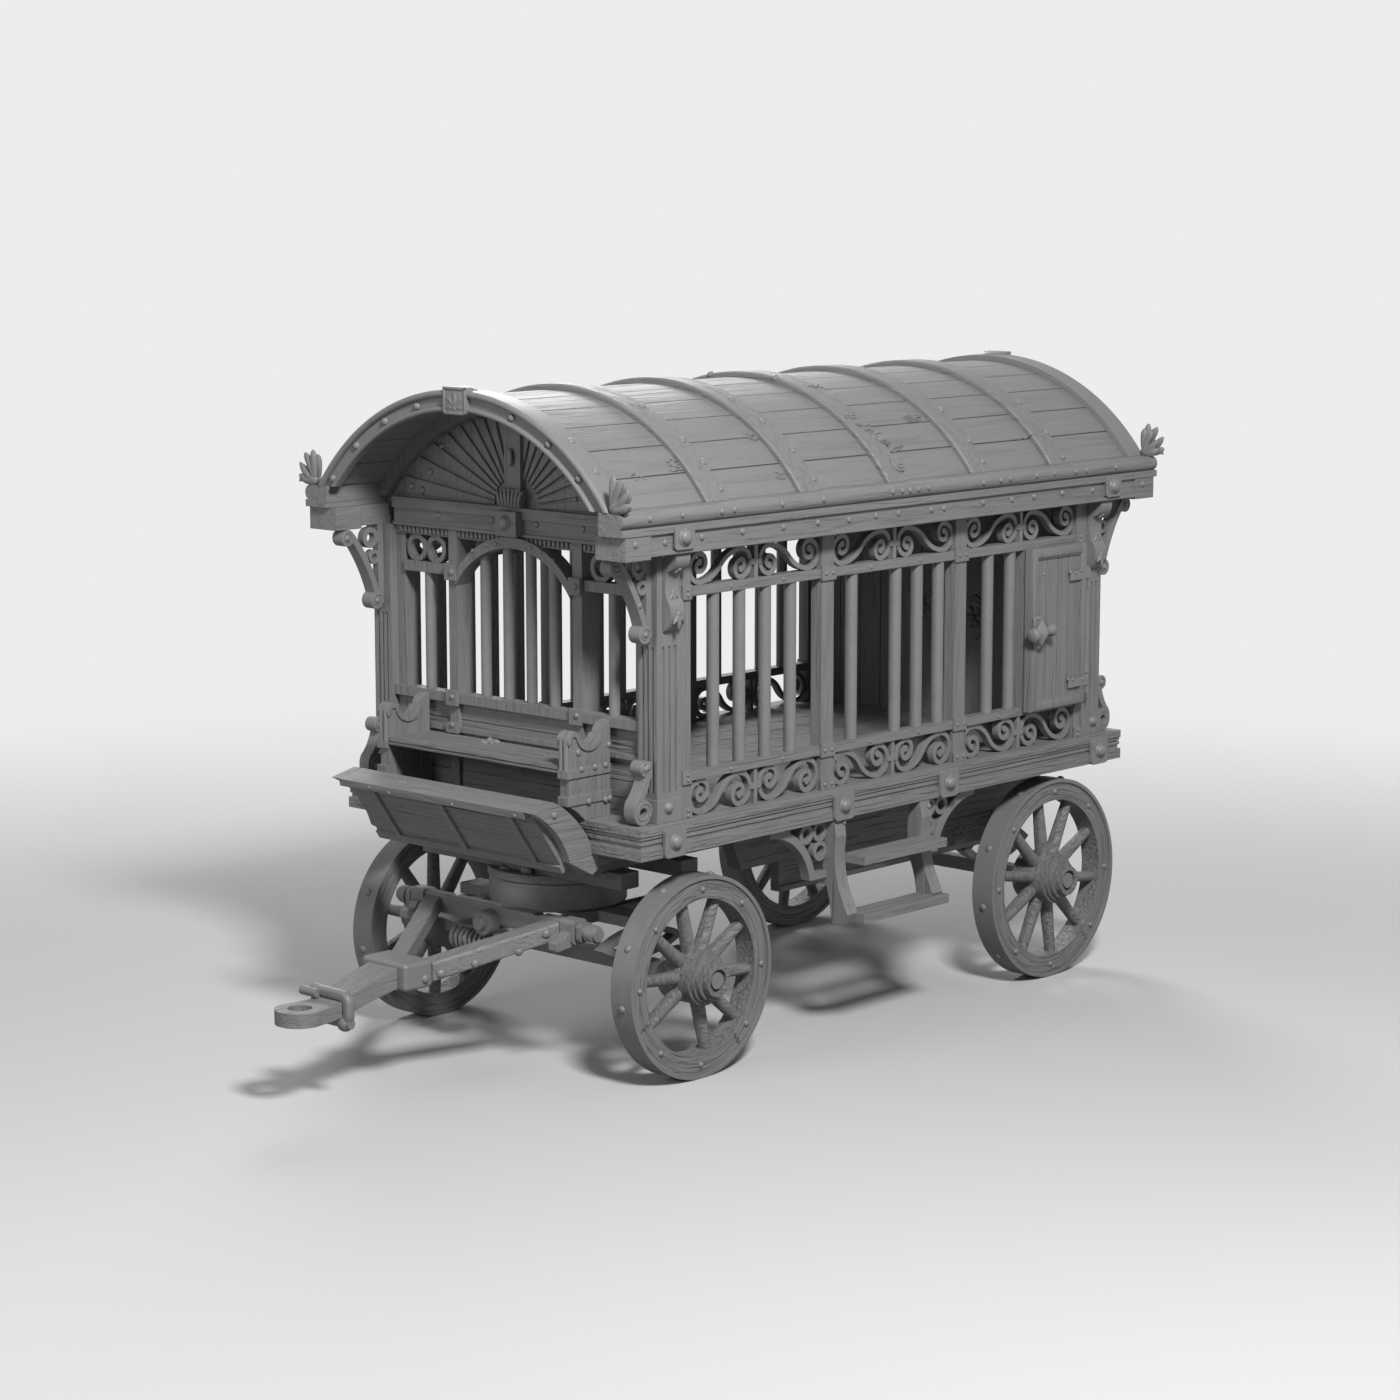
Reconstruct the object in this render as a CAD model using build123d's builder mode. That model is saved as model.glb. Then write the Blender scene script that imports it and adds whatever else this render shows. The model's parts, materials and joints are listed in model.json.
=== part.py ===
from build123d import *
import os
from math import atan2, cos, radians, sin, sqrt

# Circus cage wagon: a barred cage under a barrel roof, on four spoked wheels, towed by an A-frame.
# Millimetres. +X points to the rear, -Y is the side with the door and the steps, +Z is up.
# The origin is on the ground, midway between the drawbar eye's tip and the rear roof leaves.

# Running gear
wheelbase = 2820.0
front_wheel_radius = 500.0
rear_wheel_radius = 544.0
tyre_thickness = 20.0
wheel_width = 135.0
wheel_outer_y = 983.0
felloe_depth = 95.0
spoke_count = 10
spoke_width = 78.0
spoke_thickness = 66.0
spoke_taper = 1.5
nave_radius = 133.0
nave_inner_y = 800.0
nave_outer_y = 1085.0
spindle_radius = 30.0
running_clearance = 0.06
axle_half_section = 36.0
turntable_radius = 345.0
turntable_bottom = 745.0
turntable_top = 889.7
turntable_gap = 0.3

# Drawbar
eye_reach = 1820.0
eye_radius = 118.0
eye_hole_radius = 57.0
crossbar_x = -425.0
crossbar_z = 737.0

# Body
body_mid_behind_axle = 1440.0
half_sill_length = 1915.0
half_sill_width = 1027.0
sill_bottom = 1145.0
sill_top = 1300.0
sill_beam_width = 130.0
floor_thickness = 45.0
post_outer_y = 985.0
post_length = 166.0
post_width = 125.0
half_post_length = 1759.0
stile_length = 65.0
flat_post_offset = 530.0
flat_post_width = 92.0
flat_post_depth = 70.0
lower_rail_bottom = 1477.0
lower_rail_top = 1521.0
upper_rail_bottom = 2361.0
upper_rail_top = 2408.0
head_rail_bottom = 2568.0
rail_outer_y = 985.0
rail_inner_y = 915.0
bar_radius = 31.0
bar_y = 950.0

# Roof
half_fascia_length = 2082.0
fascia_outer_y = 1081.0
fascia_width = 170.0
fascia_bottom = 2589.0
fascia_top = 2690.0
moulding_top = 2725.0
eave_top = 2800.0
arch_half_width = 1030.0
arch_spring_z = 2760.0
arch_peak_z = 3314.0
rib_depth = 30.0
rib_width = 150.0
rib_pitch = 675.0
roof_thickness = 30.0
leaf_overhang = 38.0
leaf_reach_y = 1160.0

# Places that follow from the sizes above
front_axle_x = (eye_reach - body_mid_behind_axle - half_fascia_length - leaf_overhang) / 2
rear_axle_x = front_axle_x + wheelbase
mid_x = front_axle_x + body_mid_behind_axle
arch_rise = arch_peak_z - arch_spring_z
arch_radius = (arch_half_width**2 + arch_rise**2) / (2 * arch_rise)
arch_centre_z = arch_peak_z - arch_radius
ring_half_width = half_sill_width - sill_beam_width
floor_bottom = sill_top - floor_thickness
post_outer_x = half_post_length
post_inner_x = half_post_length - post_length
bay_outer_x = post_inner_x - stile_length
flat_post_inner_y = post_outer_y - flat_post_depth

os.makedirs("parts", exist_ok=True)


def save(builder, name):
    """Label a finished piece and write it as one STEP file."""
    builder.part.label = name
    export_step(builder.part, f"parts/{name}.step")


def save_set(builders, name):
    """Write the separate timbers of one frame, unfused, as one STEP file."""
    group = Compound([solid for builder in builders for solid in builder.part.solids()])
    group.label = name
    export_step(group, f"parts/{name}.step")


def block(x0, x1, y0, y1, z0, z1):
    """A box between two corners, added to the piece being built."""
    with Locations(((x0 + x1) / 2, (y0 + y1) / 2, (z0 + z1) / 2)):
        Box(x1 - x0, y1 - y0, z1 - z0)


def cut_block(x0, x1, y0, y1, z0, z1):
    """A box between two corners, cut from the piece being built."""
    with Locations(((x0 + x1) / 2, (y0 + y1) / 2, (z0 + z1) / 2)):
        Box(x1 - x0, y1 - y0, z1 - z0, mode=Mode.SUBTRACT)


def xz_plane(y):
    """A sketch plane at this y: sketch x is the wagon's x, sketch y is height, normal towards -Y."""
    return Plane(origin=(0, y, 0), x_dir=(1, 0, 0), z_dir=(0, -1, 0))


def yz_plane(x):
    """A sketch plane at this x: sketch x is the wagon's y, sketch y is height, normal towards +X."""
    return Plane(origin=(x, 0, 0), x_dir=(0, 1, 0), z_dir=(1, 0, 0))


# Wheels. Angles are seen from the wheel's outer side. One spoke of the left front wheel is gone.
def build_wheel(axle_x, radius, side, first_spoke, missing_spoke, name):
    """An iron tyre, a felloe ring with spokes and a turned nave, on the side of the given sign."""
    outer_y = side * wheel_outer_y
    inner_y = side * (wheel_outer_y - wheel_width)
    middle_y = (outer_y + inner_y) / 2
    felloe_outer = radius - tyre_thickness
    felloe_inner = felloe_outer - felloe_depth
    axis = Axis((axle_x, 0, radius), (0, 1, 0))
    with BuildPart() as tyre:
        with BuildSketch(Plane(origin=(axle_x, inner_y, radius), x_dir=(1, 0, 0), z_dir=(0, side, 0))):
            Circle(radius)
            Circle(felloe_outer, mode=Mode.SUBTRACT)
        extrude(amount=wheel_width)
    save(tyre, f"tyre_{name}")
    lip = 9.0
    spoke_foot = nave_radius - 12
    with BuildPart() as wheel:
        face = Plane(origin=(axle_x, inner_y + side * lip, radius), x_dir=(1, 0, 0), z_dir=(0, side, 0))
        with BuildSketch(face):
            Circle(felloe_outer)
            Circle(felloe_inner, mode=Mode.SUBTRACT)
        extrude(amount=wheel_width - 2 * lip)
        for number in range(spoke_count):
            if number == missing_spoke:
                continue
            angle = radians(first_spoke + number * 360 / spoke_count)
            out = Vector(cos(angle), 0, sin(angle))
            start = Vector(axle_x, middle_y, radius) + out * spoke_foot
            foot = Plane(origin=start, x_dir=(0, 1, 0), z_dir=out)
            with BuildSketch(foot):
                SlotOverall(spoke_width, spoke_thickness)
            extrude(amount=felloe_inner - spoke_foot + 6, taper=spoke_taper)
        # Columns: distance of the ring's outer end from the middle plane, ring radius.
        nave_steps = [
            (nave_inner_y, nave_radius - 18),
            (nave_inner_y + 22, nave_radius),
            (wheel_outer_y + 24, nave_radius),
            (wheel_outer_y + 42, nave_radius - 16),
            (wheel_outer_y + 64, nave_radius - 32),
            (nave_outer_y, nave_radius - 54),
        ]
        with BuildSketch(Plane(origin=(axle_x, 0, radius), x_dir=(0, side, 0), z_dir=(1, 0, 0))):
            with BuildLine():
                points = [(nave_inner_y, spindle_radius + running_clearance)]
                reach = nave_inner_y
                for end, ring in nave_steps:
                    points += [(reach, ring), (end, ring)]
                    reach = end
                points += [
                    (nave_outer_y, 56.0),
                    (nave_outer_y - 30, 56.0),
                    (nave_outer_y - 30, spindle_radius + running_clearance),
                ]
                cleaned = [points[0]]
                for point in points[1:]:
                    if point != cleaned[-1]:
                        cleaned.append(point)
                Polyline(*cleaned, close=True)
            make_face()
        revolve(axis=axis)
    save(wheel, f"wheel_{name}")


# Columns: name, axle x, radius, side, angle of the first spoke, number of the missing spoke.
wheels = [
    ("front_left", front_axle_x, front_wheel_radius, -1, 31.0, 6),
    ("front_right", front_axle_x, front_wheel_radius, 1, 18.0, None),
    ("rear_left", rear_axle_x, rear_wheel_radius, -1, 27.0, None),
    ("rear_right", rear_axle_x, rear_wheel_radius, 1, 10.0, None),
]
for name, axle_x, radius, side, first_spoke, missing_spoke in wheels:
    build_wheel(axle_x, radius, side, first_spoke, missing_spoke, name)


# Axles: a square iron bar with a turned spindle and a nut at each end.
def build_axle(axle_x, axle_z, name):
    """One axle through both naves, its nuts standing in the recesses of the nave ends."""
    with BuildPart() as axle:
        half = nave_inner_y - 8
        block(
            axle_x - axle_half_section,
            axle_x + axle_half_section,
            -half,
            half,
            axle_z - axle_half_section,
            axle_z + axle_half_section,
        )
        for side in (-1, 1):
            end = Plane(origin=(axle_x, side * half, axle_z), x_dir=(1, 0, 0), z_dir=(0, side, 0))
            with BuildSketch(end):
                Circle(spindle_radius + 18)
            extrude(amount=7.7)
            with BuildSketch(end):
                Circle(spindle_radius)
            extrude(amount=nave_outer_y - 10 - half)
            nut = Plane(
                origin=(axle_x, side * (nave_outer_y - 29.7), axle_z), x_dir=(1, 0, 0), z_dir=(0, side, 0)
            )
            with BuildSketch(nut):
                Circle(41.0)
            extrude(amount=24.7)
    save(axle, name)


build_axle(front_axle_x, front_wheel_radius, "front_axle")
build_axle(rear_axle_x, rear_wheel_radius, "rear_axle")


# Elliptic leaf springs between each axle and the timber above it.
spring_y = 560.0
spring_width = 60.0
spring_half_length = 290.0
leaf_thickness = 26.0


def build_springs(axle_x, seat_z, top_z, name):
    """Two pairs of curved leaves, meeting at their tips, one pair on each side."""
    middle_z = (seat_z + top_z) / 2
    with BuildPart() as springs:
        for side in (-1, 1):
            with BuildSketch(xz_plane(side * spring_y + spring_width / 2)):
                with BuildLine():
                    ThreePointArc(
                        (axle_x - spring_half_length, middle_z),
                        (axle_x, top_z),
                        (axle_x + spring_half_length, middle_z),
                    )
                    ThreePointArc(
                        (axle_x + spring_half_length, middle_z),
                        (axle_x, seat_z),
                        (axle_x - spring_half_length, middle_z),
                    )
                make_face()
                with BuildLine():
                    ThreePointArc(
                        (axle_x - spring_half_length + 70, middle_z),
                        (axle_x, top_z - leaf_thickness),
                        (axle_x + spring_half_length - 70, middle_z),
                    )
                    ThreePointArc(
                        (axle_x + spring_half_length - 70, middle_z),
                        (axle_x, seat_z + leaf_thickness),
                        (axle_x - spring_half_length + 70, middle_z),
                    )
                make_face(mode=Mode.SUBTRACT)
            extrude(amount=spring_width)
            block(
                axle_x - 45,
                axle_x + 45,
                side * spring_y - spring_width / 2,
                side * spring_y + spring_width / 2,
                top_z - leaf_thickness,
                top_z,
            )
            block(
                axle_x - 45,
                axle_x + 45,
                side * spring_y - spring_width / 2,
                side * spring_y + spring_width / 2,
                seat_z,
                seat_z + leaf_thickness,
            )
    save(springs, name)


front_bolster_bottom = 690.0
rear_bolster_bottom = 790.0
belly_bottom = 865.0
build_springs(front_axle_x, front_wheel_radius + axle_half_section, front_bolster_bottom, "front_springs")
build_springs(rear_axle_x, rear_wheel_radius + axle_half_section, rear_bolster_bottom, "rear_springs")

# Fore-carriage: the drum that turns under the body, on a cross timber and two hounds.
with BuildPart() as turntable_drum:
    with BuildSketch(Plane.XY.offset(turntable_bottom)):
        with Locations((front_axle_x, 0)):
            Circle(turntable_radius)
    extrude(amount=turntable_top - turntable_bottom)
    fillet(turntable_drum.edges(), 16)
    with BuildSketch(Plane.XY.offset(turntable_bottom)):
        with Locations((front_axle_x, 0)):
            Circle(turntable_radius - 45)
            Circle(90.0, mode=Mode.SUBTRACT)
    extrude(amount=turntable_top - turntable_bottom - 35, mode=Mode.SUBTRACT)
    with BuildSketch(Plane.XY.offset(turntable_bottom)):
        with Locations((front_axle_x, 0)):
            Circle(spindle_radius + running_clearance)
    extrude(amount=turntable_top - turntable_bottom, mode=Mode.SUBTRACT)
save(turntable_drum, "turntable_drum")

hound_y = 310.0
hound_width = 70.0
hound_bottom = 690.0
hinge_pin_radius = 14.0
hinge_tongue_radius = 26.0
hinge_tongue_width = 40.0
hinge_x = front_axle_x + crossbar_x
with BuildPart() as fore_frame:
    # The cross timber over the springs, and the two hounds that run forward to the drawbar hinge.
    block(front_axle_x - 70, front_axle_x + 70, -640, 640, front_bolster_bottom, turntable_bottom)
    with BuildSketch(Plane.XY.offset(front_bolster_bottom)):
        with Locations((front_axle_x, 0)):
            Circle(spindle_radius + running_clearance)
    extrude(amount=turntable_bottom - front_bolster_bottom, mode=Mode.SUBTRACT)
    for side in (-1, 1):
        block(
            front_axle_x - 345,
            front_axle_x + 360,
            side * hound_y - hound_width / 2,
            side * hound_y + hound_width / 2,
            hound_bottom,
            turntable_bottom,
        )
        with BuildSketch(xz_plane(side * hound_y + hinge_tongue_width / 2)):
            with Locations((hinge_x, crossbar_z)):
                Circle(hinge_tongue_radius)
            with BuildLine():
                Polyline(
                    (hinge_x, crossbar_z + hinge_tongue_radius),
                    (hinge_x, crossbar_z - hinge_tongue_radius),
                    (front_axle_x - 340, hound_bottom + 4),
                    (front_axle_x - 340, turntable_bottom),
                    close=True,
                )
            make_face()
            with Locations((hinge_x, crossbar_z)):
                Circle(hinge_pin_radius + running_clearance, mode=Mode.SUBTRACT)
        extrude(amount=hinge_tongue_width)
save(fore_frame, "fore_frame")

# Drawbar: the crossbar turns on two pins in the hounds; two struts run to the tongue with its eye.
crossbar_depth = 70.0
crossbar_height = 96.0
crossbar_half_length = 482.0
crossbar_front = hinge_x - crossbar_depth / 2
crossbar_rear = hinge_x + crossbar_depth / 2
slot_clearance = 1.0
with BuildPart() as crossbar:
    block(
        crossbar_front,
        crossbar_rear,
        -crossbar_half_length,
        crossbar_half_length,
        crossbar_z - crossbar_height / 2,
        crossbar_z + crossbar_height / 2,
    )
    fillet(crossbar.edges().filter_by(Axis.Y), 9)
    for side in (-1, 1):
        cut_block(
            hinge_x - hinge_tongue_radius - 6,
            crossbar_rear,
            side * hound_y - hinge_tongue_width / 2 - slot_clearance,
            side * hound_y + hinge_tongue_width / 2 + slot_clearance,
            crossbar_z - crossbar_height / 2,
            crossbar_z + crossbar_height / 2,
        )
        # The pin crosses the slot and is held in both cheeks.
        with BuildSketch(xz_plane(side * hound_y + 40)):
            with Locations((hinge_x, crossbar_z)):
                Circle(hinge_pin_radius)
        extrude(amount=80)
    # The centre bolt with its collar, standing forward of the bar.
    front = Plane(origin=(crossbar_front, 0, crossbar_z - 30), x_dir=(0, -1, 0), z_dir=(-1, 0, 0))
    # Columns: radius, length from the bar's front face.
    for bolt_radius, bolt_length in [(42.0, 40.0), (62.0, 74.0), (32.0, 100.0)]:
        with BuildSketch(front):
            Circle(bolt_radius)
        extrude(amount=bolt_length)
save(crossbar, "crossbar")

# End fittings of the crossbar: a rounded sleeve, a hook that points forward and a roller outboard.
fitting_end_y = 700.0
sleeve_length = 90.0
hook_width = 54.0
with BuildPart() as crossbar_hooks:
    for side in (-1, 1):
        inner = side * crossbar_half_length
        outer = side * (crossbar_half_length + sleeve_length)
        low_y = min(inner, outer)
        high_y = max(inner, outer)
        with BuildSketch(xz_plane(high_y)):
            with Locations((hinge_x - 2, crossbar_z - 2)):
                RectangleRounded(crossbar_depth + 24, 120, 20)
        extrude(amount=sleeve_length)
        with BuildSketch(xz_plane(high_y - (sleeve_length - hook_width) / 2)):
            with BuildLine():
                Polyline(
                    (crossbar_front + 20, crossbar_z + 10),
                    (crossbar_front + 20, crossbar_z - 70),
                    (crossbar_front - 100, crossbar_z - 84),
                    (crossbar_front - 108, crossbar_z - 76),
                    (crossbar_front - 108, crossbar_z - 44),
                    (crossbar_front - 96, crossbar_z - 36),
                    (crossbar_front - 56, crossbar_z - 34),
                    (crossbar_front - 30, crossbar_z - 4),
                    close=True,
                )
            make_face()
        extrude(amount=hook_width)
        roller = Plane(origin=(hinge_x, outer, crossbar_z), x_dir=(1, 0, 0), z_dir=(0, side, 0))
        with BuildSketch(roller):
            Circle(34.0)
        extrude(amount=fitting_end_y - crossbar_half_length - sleeve_length)
        with BuildSketch(roller.offset(14)):
            RectangleRounded(84, 92, 22)
        extrude(amount=30)
        with BuildSketch(roller.offset(62)):
            Circle(44.0)
        extrude(amount=46)
save(crossbar_hooks, "crossbar_hooks")

clamp_front = front_axle_x - 1180
clamp_rear = front_axle_x - 1000
clamp_half_width = 155.0
clamp_bottom = 500.0
clamp_top = 635.0
strut_rear_y = 425.0
strut_front_y = 98.0
with BuildPart() as drawbar_struts:
    for side in (-1, 1):
        rear_end = Plane(
            origin=(crossbar_front, side * strut_rear_y, crossbar_z - 6), x_dir=(0, 1, 0), z_dir=(-1, 0, 0)
        )
        with BuildSketch(rear_end):
            RectangleRounded(112, 84, 12)
        front_end = Plane(origin=(clamp_rear, side * strut_front_y, 567), x_dir=(0, 1, 0), z_dir=(-1, 0, 0))
        with BuildSketch(front_end):
            RectangleRounded(108, 96, 12)
        loft()
save(drawbar_struts, "drawbar_struts")

with BuildPart() as drawbar_clamp:
    block(clamp_front, clamp_rear, -clamp_half_width, clamp_half_width, clamp_bottom, clamp_top)
    fillet(drawbar_clamp.edges(), 20)
    # The pin that hangs through behind the block.
    with BuildSketch(Plane.XY.offset(clamp_bottom - 60)):
        with Locations((clamp_rear + 8, 0)):
            Circle(24.0)
    extrude(amount=120)
save(drawbar_clamp, "drawbar_clamp")

eye_x = front_axle_x - eye_reach + eye_radius
eye_bottom = 430.0
eye_top = 500.0
# Columns: x ahead of the front axle, half width, bottom z, top z.
tongue_sections = [(1180.0, 100.0, 512.0, 612.0), (1350.0, 92.0, 478.0, 568.0), (1540.0, 90.0, eye_bottom, eye_top)]
with BuildPart() as drawbar_tongue:
    for near, far in zip(tongue_sections, tongue_sections[1:]):
        for ahead, half_width, low, high in (near, far):
            section = Plane(
                origin=(front_axle_x - ahead, 0, (low + high) / 2), x_dir=(0, 1, 0), z_dir=(-1, 0, 0)
            )
            with BuildSketch(section):
                Rectangle(2 * half_width, high - low)
        loft()
    with BuildSketch(Plane.XY.offset(eye_bottom)):
        with Locations((eye_x, 0)):
            Circle(eye_radius)
        with BuildLine():
            Polyline(
                (front_axle_x - 1540, -90),
                (eye_x, -eye_radius),
                (eye_x, eye_radius),
                (front_axle_x - 1540, 90),
                close=True,
            )
        make_face()
        with Locations((eye_x, 0)):
            Circle(eye_hole_radius, mode=Mode.SUBTRACT)
    extrude(amount=eye_top - eye_bottom)
save(drawbar_tongue, "drawbar_tongue")

shackle_x = front_axle_x - 1500
shackle_rod = 50.0
with BuildPart() as shackle:
    # A bent rod round the tongue.
    with BuildSketch(yz_plane(shackle_x - shackle_rod / 2)):
        with Locations((0, 474)):
            RectangleRounded(276, 172, 60)
            RectangleRounded(176, 70, 20, mode=Mode.SUBTRACT)
    extrude(amount=shackle_rod)
    fillet(shackle.edges(), 18)
    # A pin with a ball under the tongue and two pin ends on the far side.
    with BuildSketch(xz_plane(60)):
        with Locations((shackle_x, 404)):
            Circle(24)
    extrude(amount=190)
    with Locations((shackle_x, -88, 404)):
        Sphere(40)
    for pin_x in (shackle_x - 34, shackle_x + 34):
        with BuildSketch(xz_plane(176)):
            with Locations((pin_x, 528)):
                Circle(22)
        extrude(amount=110)
    add(drawbar_tongue.part, mode=Mode.SUBTRACT)
save(shackle, "shackle")

# Under the body: the ring and bolsters that stand on the drum, the king pin, the belly beams.
bolster_bottom = turntable_top + turntable_gap + 40
chassis_bottom = 1010.0
with BuildPart() as front_bolster:
    with BuildSketch(Plane.XY.offset(turntable_top + turntable_gap)):
        with Locations((front_axle_x, 0)):
            Circle(turntable_radius + 8)
            Circle(turntable_radius - 70, mode=Mode.SUBTRACT)
    extrude(amount=40)
    for start in (-270, 150):
        block(front_axle_x + start, front_axle_x + start + 120, -700, 700, bolster_bottom, chassis_bottom)
    block(front_axle_x - 150, front_axle_x + 150, -120, 120, bolster_bottom, chassis_bottom)
    block(front_axle_x - 292, front_axle_x - 270, -92, 92, bolster_bottom + 6, chassis_bottom - 4)
    # The king pin hangs from the bolster through the drum and the cross timber below it.
    with BuildSketch(Plane.XY.offset(front_bolster_bottom - 14)):
        with Locations((front_axle_x, 0)):
            Circle(spindle_radius)
    extrude(amount=bolster_bottom - front_bolster_bottom + 14)
save(front_bolster, "front_bolster")

beam_outer_y = 600.0
beam_inner_y = 520.0
belly_front = front_axle_x + 700
belly_rear = rear_axle_x + 330
with BuildPart() as chassis_beams:
    for side in (-1, 1):
        start = side * beam_outer_y if side > 0 else side * beam_inner_y
        with BuildSketch(xz_plane(start)):
            with BuildLine():
                Polyline(
                    (front_axle_x - 420, sill_bottom),
                    (front_axle_x - 420, chassis_bottom),
                    (belly_front - 60, chassis_bottom),
                    (belly_front, belly_bottom),
                    (belly_rear, belly_bottom),
                    (belly_rear + 80, sill_bottom),
                    close=True,
                )
            make_face()
        extrude(amount=beam_outer_y - beam_inner_y)
save(chassis_beams, "chassis_beams")

# Ties between the two beams, and the rear bolster under them.
tie_height = 140.0
with BuildPart() as cross_ties:
    for offset in (760.0, 1440.0, 2120.0, 3000.0):
        cross_x = front_axle_x + offset
        block(cross_x - 45, cross_x + 45, -beam_inner_y, beam_inner_y, sill_bottom - tie_height, sill_bottom)
    block(rear_axle_x - 80, rear_axle_x + 80, -640, 640, rear_bolster_bottom, belly_bottom)
save(cross_ties, "cross_ties")

joist_pitch = 780.0
with BuildPart() as floor_joists:
    for number in range(5):
        joist_x = mid_x + (number - 2) * joist_pitch
        block(joist_x - 40, joist_x + 40, -ring_half_width, ring_half_width, sill_bottom, floor_bottom)
save(floor_joists, "floor_joists")

# Sill: four moulded timbers round the floor. Columns: bottom, top, inset from the outer face.
sill_layers = [
    (sill_bottom, 1198.0, 0.0),
    (1198.0, 1220.0, 12.0),
    (1220.0, 1238.0, 5.0),
    (1238.0, 1244.0, 12.0),
    (1244.0, 1260.0, 5.0),
    (1260.0, sill_top, 0.0),
]
sill_ends = []
sill_sides = []
for hand in (-1, 1):
    with BuildPart() as end_timber:
        for low, high, inset in sill_layers:
            tip = half_sill_length - inset
            low_x, high_x = sorted((mid_x + hand * tip, mid_x + hand * (half_sill_length - sill_beam_width)))
            block(low_x, high_x, inset - half_sill_width, half_sill_width - inset, low, high)
    sill_ends.append(end_timber)
    with BuildPart() as side_timber:
        for low, high, inset in sill_layers:
            reach = half_sill_length - sill_beam_width
            low_y, high_y = sorted((hand * (half_sill_width - inset), hand * ring_half_width))
            block(mid_x - reach, mid_x + reach, low_y, high_y, low, high)
    sill_sides.append(side_timber)
save_set(sill_ends + sill_sides, "sill_frame")

board_pitch = 180.0
board_gap = 6.0
with BuildPart() as floor_boards:
    ring_half_length = half_sill_length - sill_beam_width
    floor_front = mid_x - ring_half_length
    floor_rear = mid_x + ring_half_length
    block(floor_front, floor_rear, -ring_half_width, ring_half_width, floor_bottom, sill_top)
    for number in range(-4, 5):
        seam = number * board_pitch
        cut_block(floor_front, floor_rear, seam - board_gap / 2, seam + board_gap / 2, sill_top - 6, sill_top)
    # The boards end in a seam in front of the rear wall and behind the front wall.
    for seam in (mid_x - post_inner_x + 20, mid_x + post_inner_x):
        near = seam - board_gap / 2
        cut_block(near, near + board_gap, -ring_half_width, ring_half_width, sill_top - 6, sill_top)
save(floor_boards, "floor_boards")

# Corner posts with three flutes on each outer face, on base blocks.
base_block_top = 1413.0
flute_width = 16.0
with BuildPart() as corner_posts:
    for end in (-1, 1):
        for side in (-1, 1):
            outer_x = mid_x + end * post_outer_x
            inner_x = mid_x + end * post_inner_x
            outer_y = side * post_outer_y
            inner_y = side * (post_outer_y - post_width)
            low_x, high_x = sorted((outer_x, inner_x))
            low_y, high_y = sorted((outer_y, inner_y))
            block(low_x, high_x, low_y, high_y, sill_top, fascia_bottom)
            base_low_x, base_high_x = sorted((outer_x + end * 12, inner_x))
            base_low_y, base_high_y = sorted((outer_y + side * 10, inner_y))
            block(base_low_x, base_high_x, base_low_y, base_high_y, sill_top, base_block_top)
            for number in range(3):
                flute_x = low_x + post_length * (number + 1) / 4
                flute_low, flute_high = sorted((outer_y, outer_y - side * 8))
                cut_block(flute_x - 8, flute_x + 8, flute_low, flute_high, base_block_top + 30, 2140)
                flute_y = low_y + post_width * (number + 1) / 4
                flute_near, flute_far = sorted((outer_x, outer_x - end * 8))
                cut_block(flute_near, flute_far, flute_y - 7, flute_y + 7, base_block_top + 30, 2140)
save(corner_posts, "corner_posts")

# Cage sides: stiles beside the corner posts, two flat posts a side with collars at the rails.
collar_depth = 11.0
collar_heights = [
    (sill_top, sill_top + 56),
    (lower_rail_bottom - 12, lower_rail_top + 12),
    (upper_rail_bottom - 12, upper_rail_top + 12),
    (head_rail_bottom - 6, fascia_bottom),
]
with BuildPart() as side_posts:
    for side in (-1, 1):
        low_y, high_y = sorted((side * post_outer_y, side * flat_post_inner_y))
        collar_low, collar_high = sorted((side * (post_outer_y + collar_depth), side * flat_post_inner_y))
        for end in (-1, 1):
            low_x, high_x = sorted((mid_x + end * bay_outer_x, mid_x + end * post_inner_x))
            block(low_x, high_x, low_y, high_y, sill_top, fascia_bottom)
            for low_z, high_z in collar_heights:
                block(low_x, high_x, collar_low, collar_high, low_z, high_z)
            centre = mid_x + end * flat_post_offset
            block(
                centre - flat_post_width / 2,
                centre + flat_post_width / 2,
                low_y,
                high_y,
                sill_top,
                fascia_bottom,
            )
            for low_z, high_z in collar_heights:
                outer_face = side * (post_outer_y + collar_depth)
                face_low, face_high = sorted((outer_face, side * post_outer_y))
                block(
                    centre - flat_post_width / 2 - 7,
                    centre + flat_post_width / 2 + 7,
                    face_low,
                    face_high,
                    low_z,
                    high_z,
                )
save(side_posts, "side_posts")

# The door takes the rear part of the near side's last bay.
door_front_x = mid_x + 1065
door_rear_x = mid_x + 1528
door_bottom = 1500.0
door_top = 2372.0
bay_edges = [
    (mid_x - bay_outer_x, mid_x - flat_post_offset - flat_post_width / 2),
    (mid_x - flat_post_offset + flat_post_width / 2, mid_x + flat_post_offset - flat_post_width / 2),
    (mid_x + flat_post_offset + flat_post_width / 2, mid_x + bay_outer_x),
]
with BuildPart() as side_rails:
    for side in (-1, 1):
        low_y, high_y = sorted((side * rail_outer_y, side * rail_inner_y))
        for low_x, high_x in bay_edges:
            block(low_x, high_x, low_y, high_y, lower_rail_bottom, lower_rail_top)
            block(low_x, high_x, low_y, high_y, upper_rail_bottom, upper_rail_top)
            block(low_x, high_x, low_y, high_y, head_rail_bottom, fascia_bottom)
save(side_rails, "side_rails")

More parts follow.
